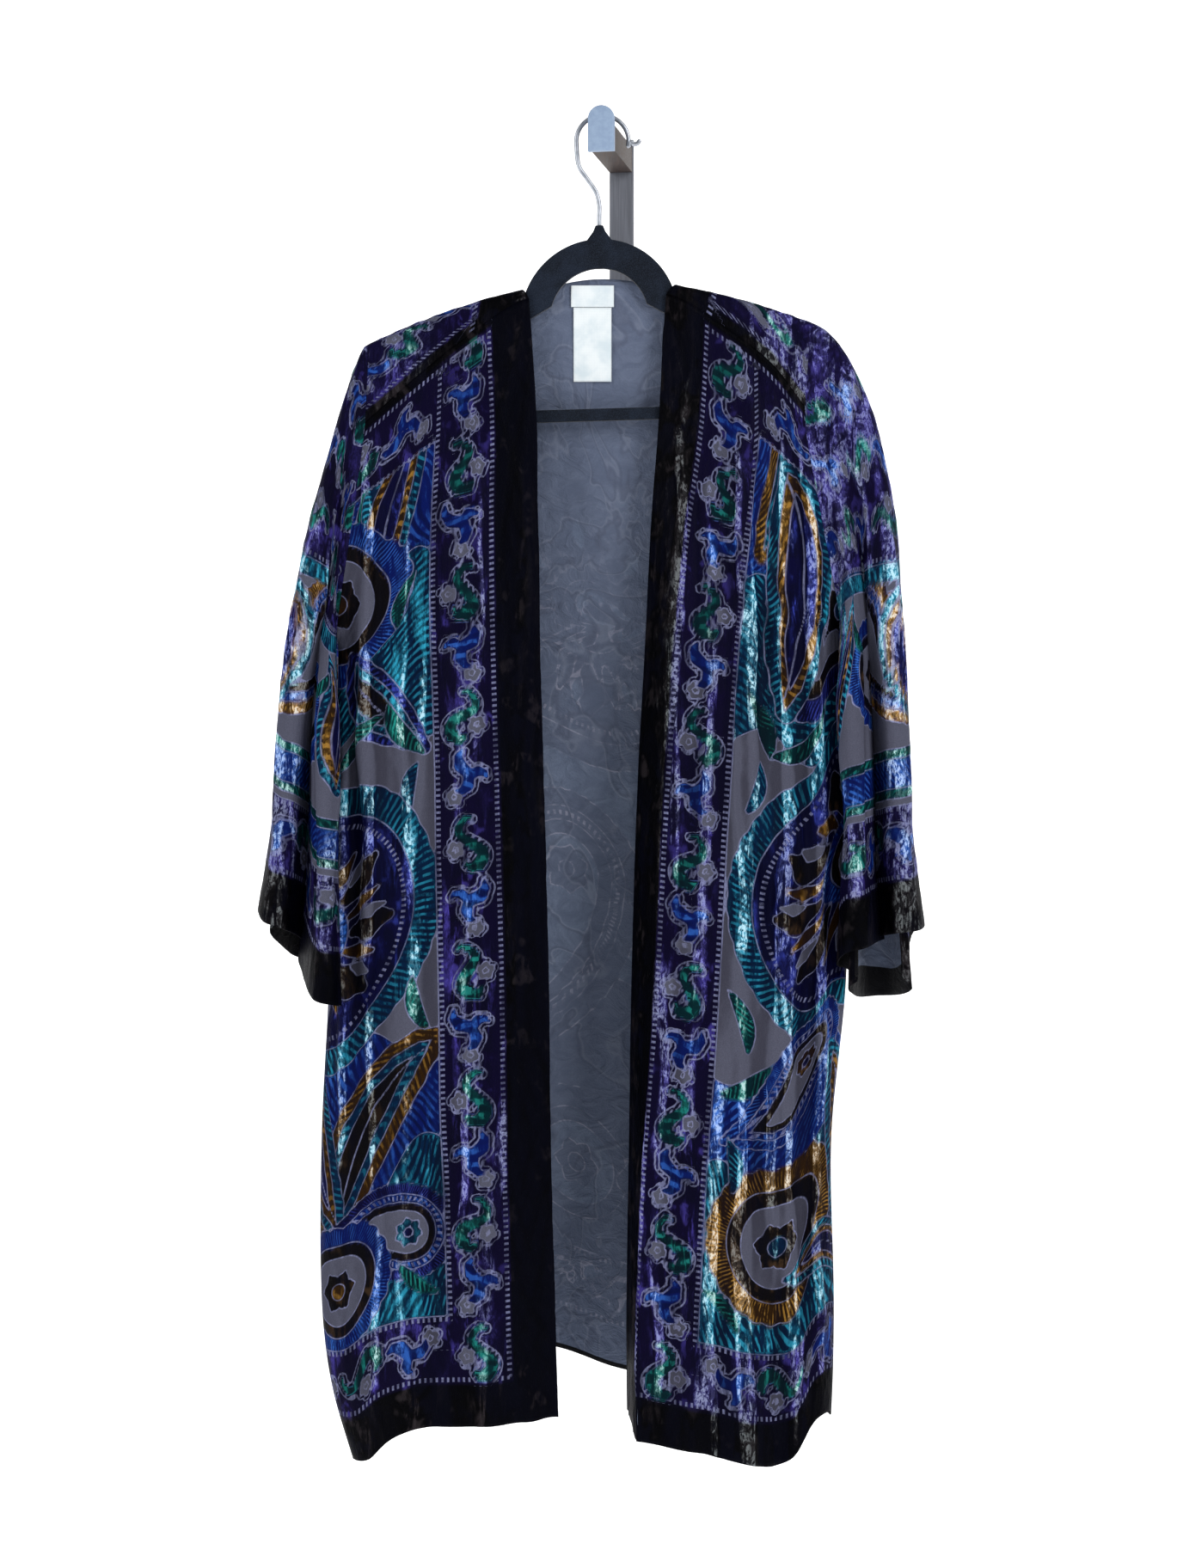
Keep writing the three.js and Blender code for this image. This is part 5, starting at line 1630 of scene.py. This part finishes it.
def build_wire():
    """A round wire with a rounded tip and a flat foot."""
    line = catmull(wire_path(), 160)
    centre = np.stack([line[:, 0], 0 * line[:, 0], line[:, 1]], 1)
    run = np.concatenate([[0], np.cumsum(np.linalg.norm(np.diff(centre, axis=0), axis=1))])
    left = run[-1] - run
    radius = WIRE_R * np.sqrt(np.clip(1 - (1 - np.clip(left / WIRE_R, 0, 1)) ** 2, 0.002, 1))
    along = np.gradient(centre, axis=0)
    along /= np.linalg.norm(along, axis=1, keepdims=True)
    flat = np.stack([-along[:, 2], 0 * along[:, 0], along[:, 0]], 1)
    turn = np.linspace(0, 2 * math.pi, 21)[:-1]
    cosine, sine = np.cos(turn)[None, :, None], np.sin(turn)[None, :, None]
    ring = flat[:, None] * cosine + np.array([0, 1, 0]) * sine
    grid = centre[:, None] + ring * radius[:, None, None]
    rows, columns = grid.shape[:2]
    index = np.arange(rows * columns).reshape(rows, columns)
    beside = np.roll(index, -1, 1)
    quads = np.stack([index[:-1], index[1:], beside[1:], beside[:-1]], -1).reshape(-1, 4).tolist()
    faces = quads + [index[0].tolist(), index[-1][::-1].tolist()]
    ride(make_object("hook_wire", grid.reshape(-1, 3), faces, [CHROME]), "hanger_hook", slot="chrome")


HOOK_YAW, HOOK_X = math.radians(10), 3.4


def yawed(points):
    """Points of the wall hook, turned about the vertical and moved to its place."""
    x, y, z = points.T
    c, s = math.cos(HOOK_YAW), math.sin(HOOK_YAW)
    return np.stack([HOOK_X + x * c + y * s, y * c - x * s, z], 1)


def round_topped(wide, tall):
    """A plate's outline with a half round on top, its top at nought."""
    r = wide / 2
    return [(-r, -tall), (r, -tall)] + arc(0, -r, r, 0, 181, 10)


def build_block(name, node, loop, y_range, lift, bevel, material, slot):
    near, far = y_range
    shift = np.array([0, (near + far) / 2, lift])
    thing = plate(name, [loop], far - near, bevel, material, lambda points: yawed(points + shift))
    ride(thing, node, slot=slot)


def build_wall_hook():
    build_block("arm_of_hook", "hook_arm", round_topped(19, 27), (-6, 88), -0.5, 0.6, BRONZE, "bronze")
    cap = round_topped(21.6, 37)
    build_block("cap_of_hook", "hook_cap", cap, (-13.3, -6.3), 7.7, 1.4, PAINT, "grey_paint")
    bar = [(-10, -190), (10, -190), (10, 0), (-10, 0)]
    build_block("bar_of_hook", "hook_bar", bar, (88.3, 94.3), 0, 0.5, STEEL, "steel")


build_hanger()
build_wire()
build_wall_hook()

# ---- Stage and light ----
WALL_AT, FLOOR_AT, CORNER = 4300.0, -1650.0, 900.0
FLOOR_FRONT, WALL_TOP, HALF_WIDE = -4200.0, 4200.0, 6500.0
PAPER, PAPER_GLOW = (0.93, 0.93, 0.93), 0.72
SKY, SKY_STRENGTH = (0.96, 0.98, 1.0, 1), 0.34


def build_stage():
    """White paper from the floor up the wall in one bend, with a glow that keeps it white."""
    bend = arc(WALL_AT - CORNER, FLOOR_AT + CORNER, CORNER, -90, 1, 10)
    profile = [(FLOOR_FRONT, FLOOR_AT), *bend, (WALL_AT, WALL_TOP)]
    points = [(x, y, z) for x in (-HALF_WIDE, HALF_WIDE) for y, z in profile]
    n = len(profile)
    faces = [[i, i + 1, n + i + 1, n + i] for i in range(n - 1)]
    paper = plain("backdrop_white", PAPER)
    lit = paper.node_tree.nodes["Principled BSDF"].inputs
    lit["Emission Color"].default_value = (1, 1, 1, 1)
    lit["Emission Strength"].default_value = PAPER_GLOW
    thing = make_object("backdrop", np.array(points), faces, [paper])


def area_light(name, at, target, size, power):
    data = bpy.data.lights.new(name, "AREA")
    data.shape = "RECTANGLE"
    data.size, data.size_y = size
    data.energy = power
    lamp = bpy.data.objects.new(name, data)
    bpy.context.scene.collection.objects.link(lamp)
    start, end = SEAT + np.array(at) * MM, SEAT + np.array(target) * MM
    lamp.location = start
    lamp.rotation_euler = Vector(end - start).to_track_quat("-Z", "Y").to_euler()


def build_light():
    world = bpy.data.worlds.new("world")
    world.use_nodes = True
    sky = world.node_tree.nodes["Background"].inputs
    sky["Color"].default_value = SKY
    sky["Strength"].default_value = SKY_STRENGTH
    bpy.context.scene.world = world
    area_light("key", (1500, -1500, 700), (0, 0, -500), (0.8, 1.4), 30)
    area_light("fill", (-1700, -1100, 200), (0, 0, -600), (0.8, 1.6), 17)
    bpy.context.scene.view_settings.view_transform = "Standard"


build_stage()
build_light()
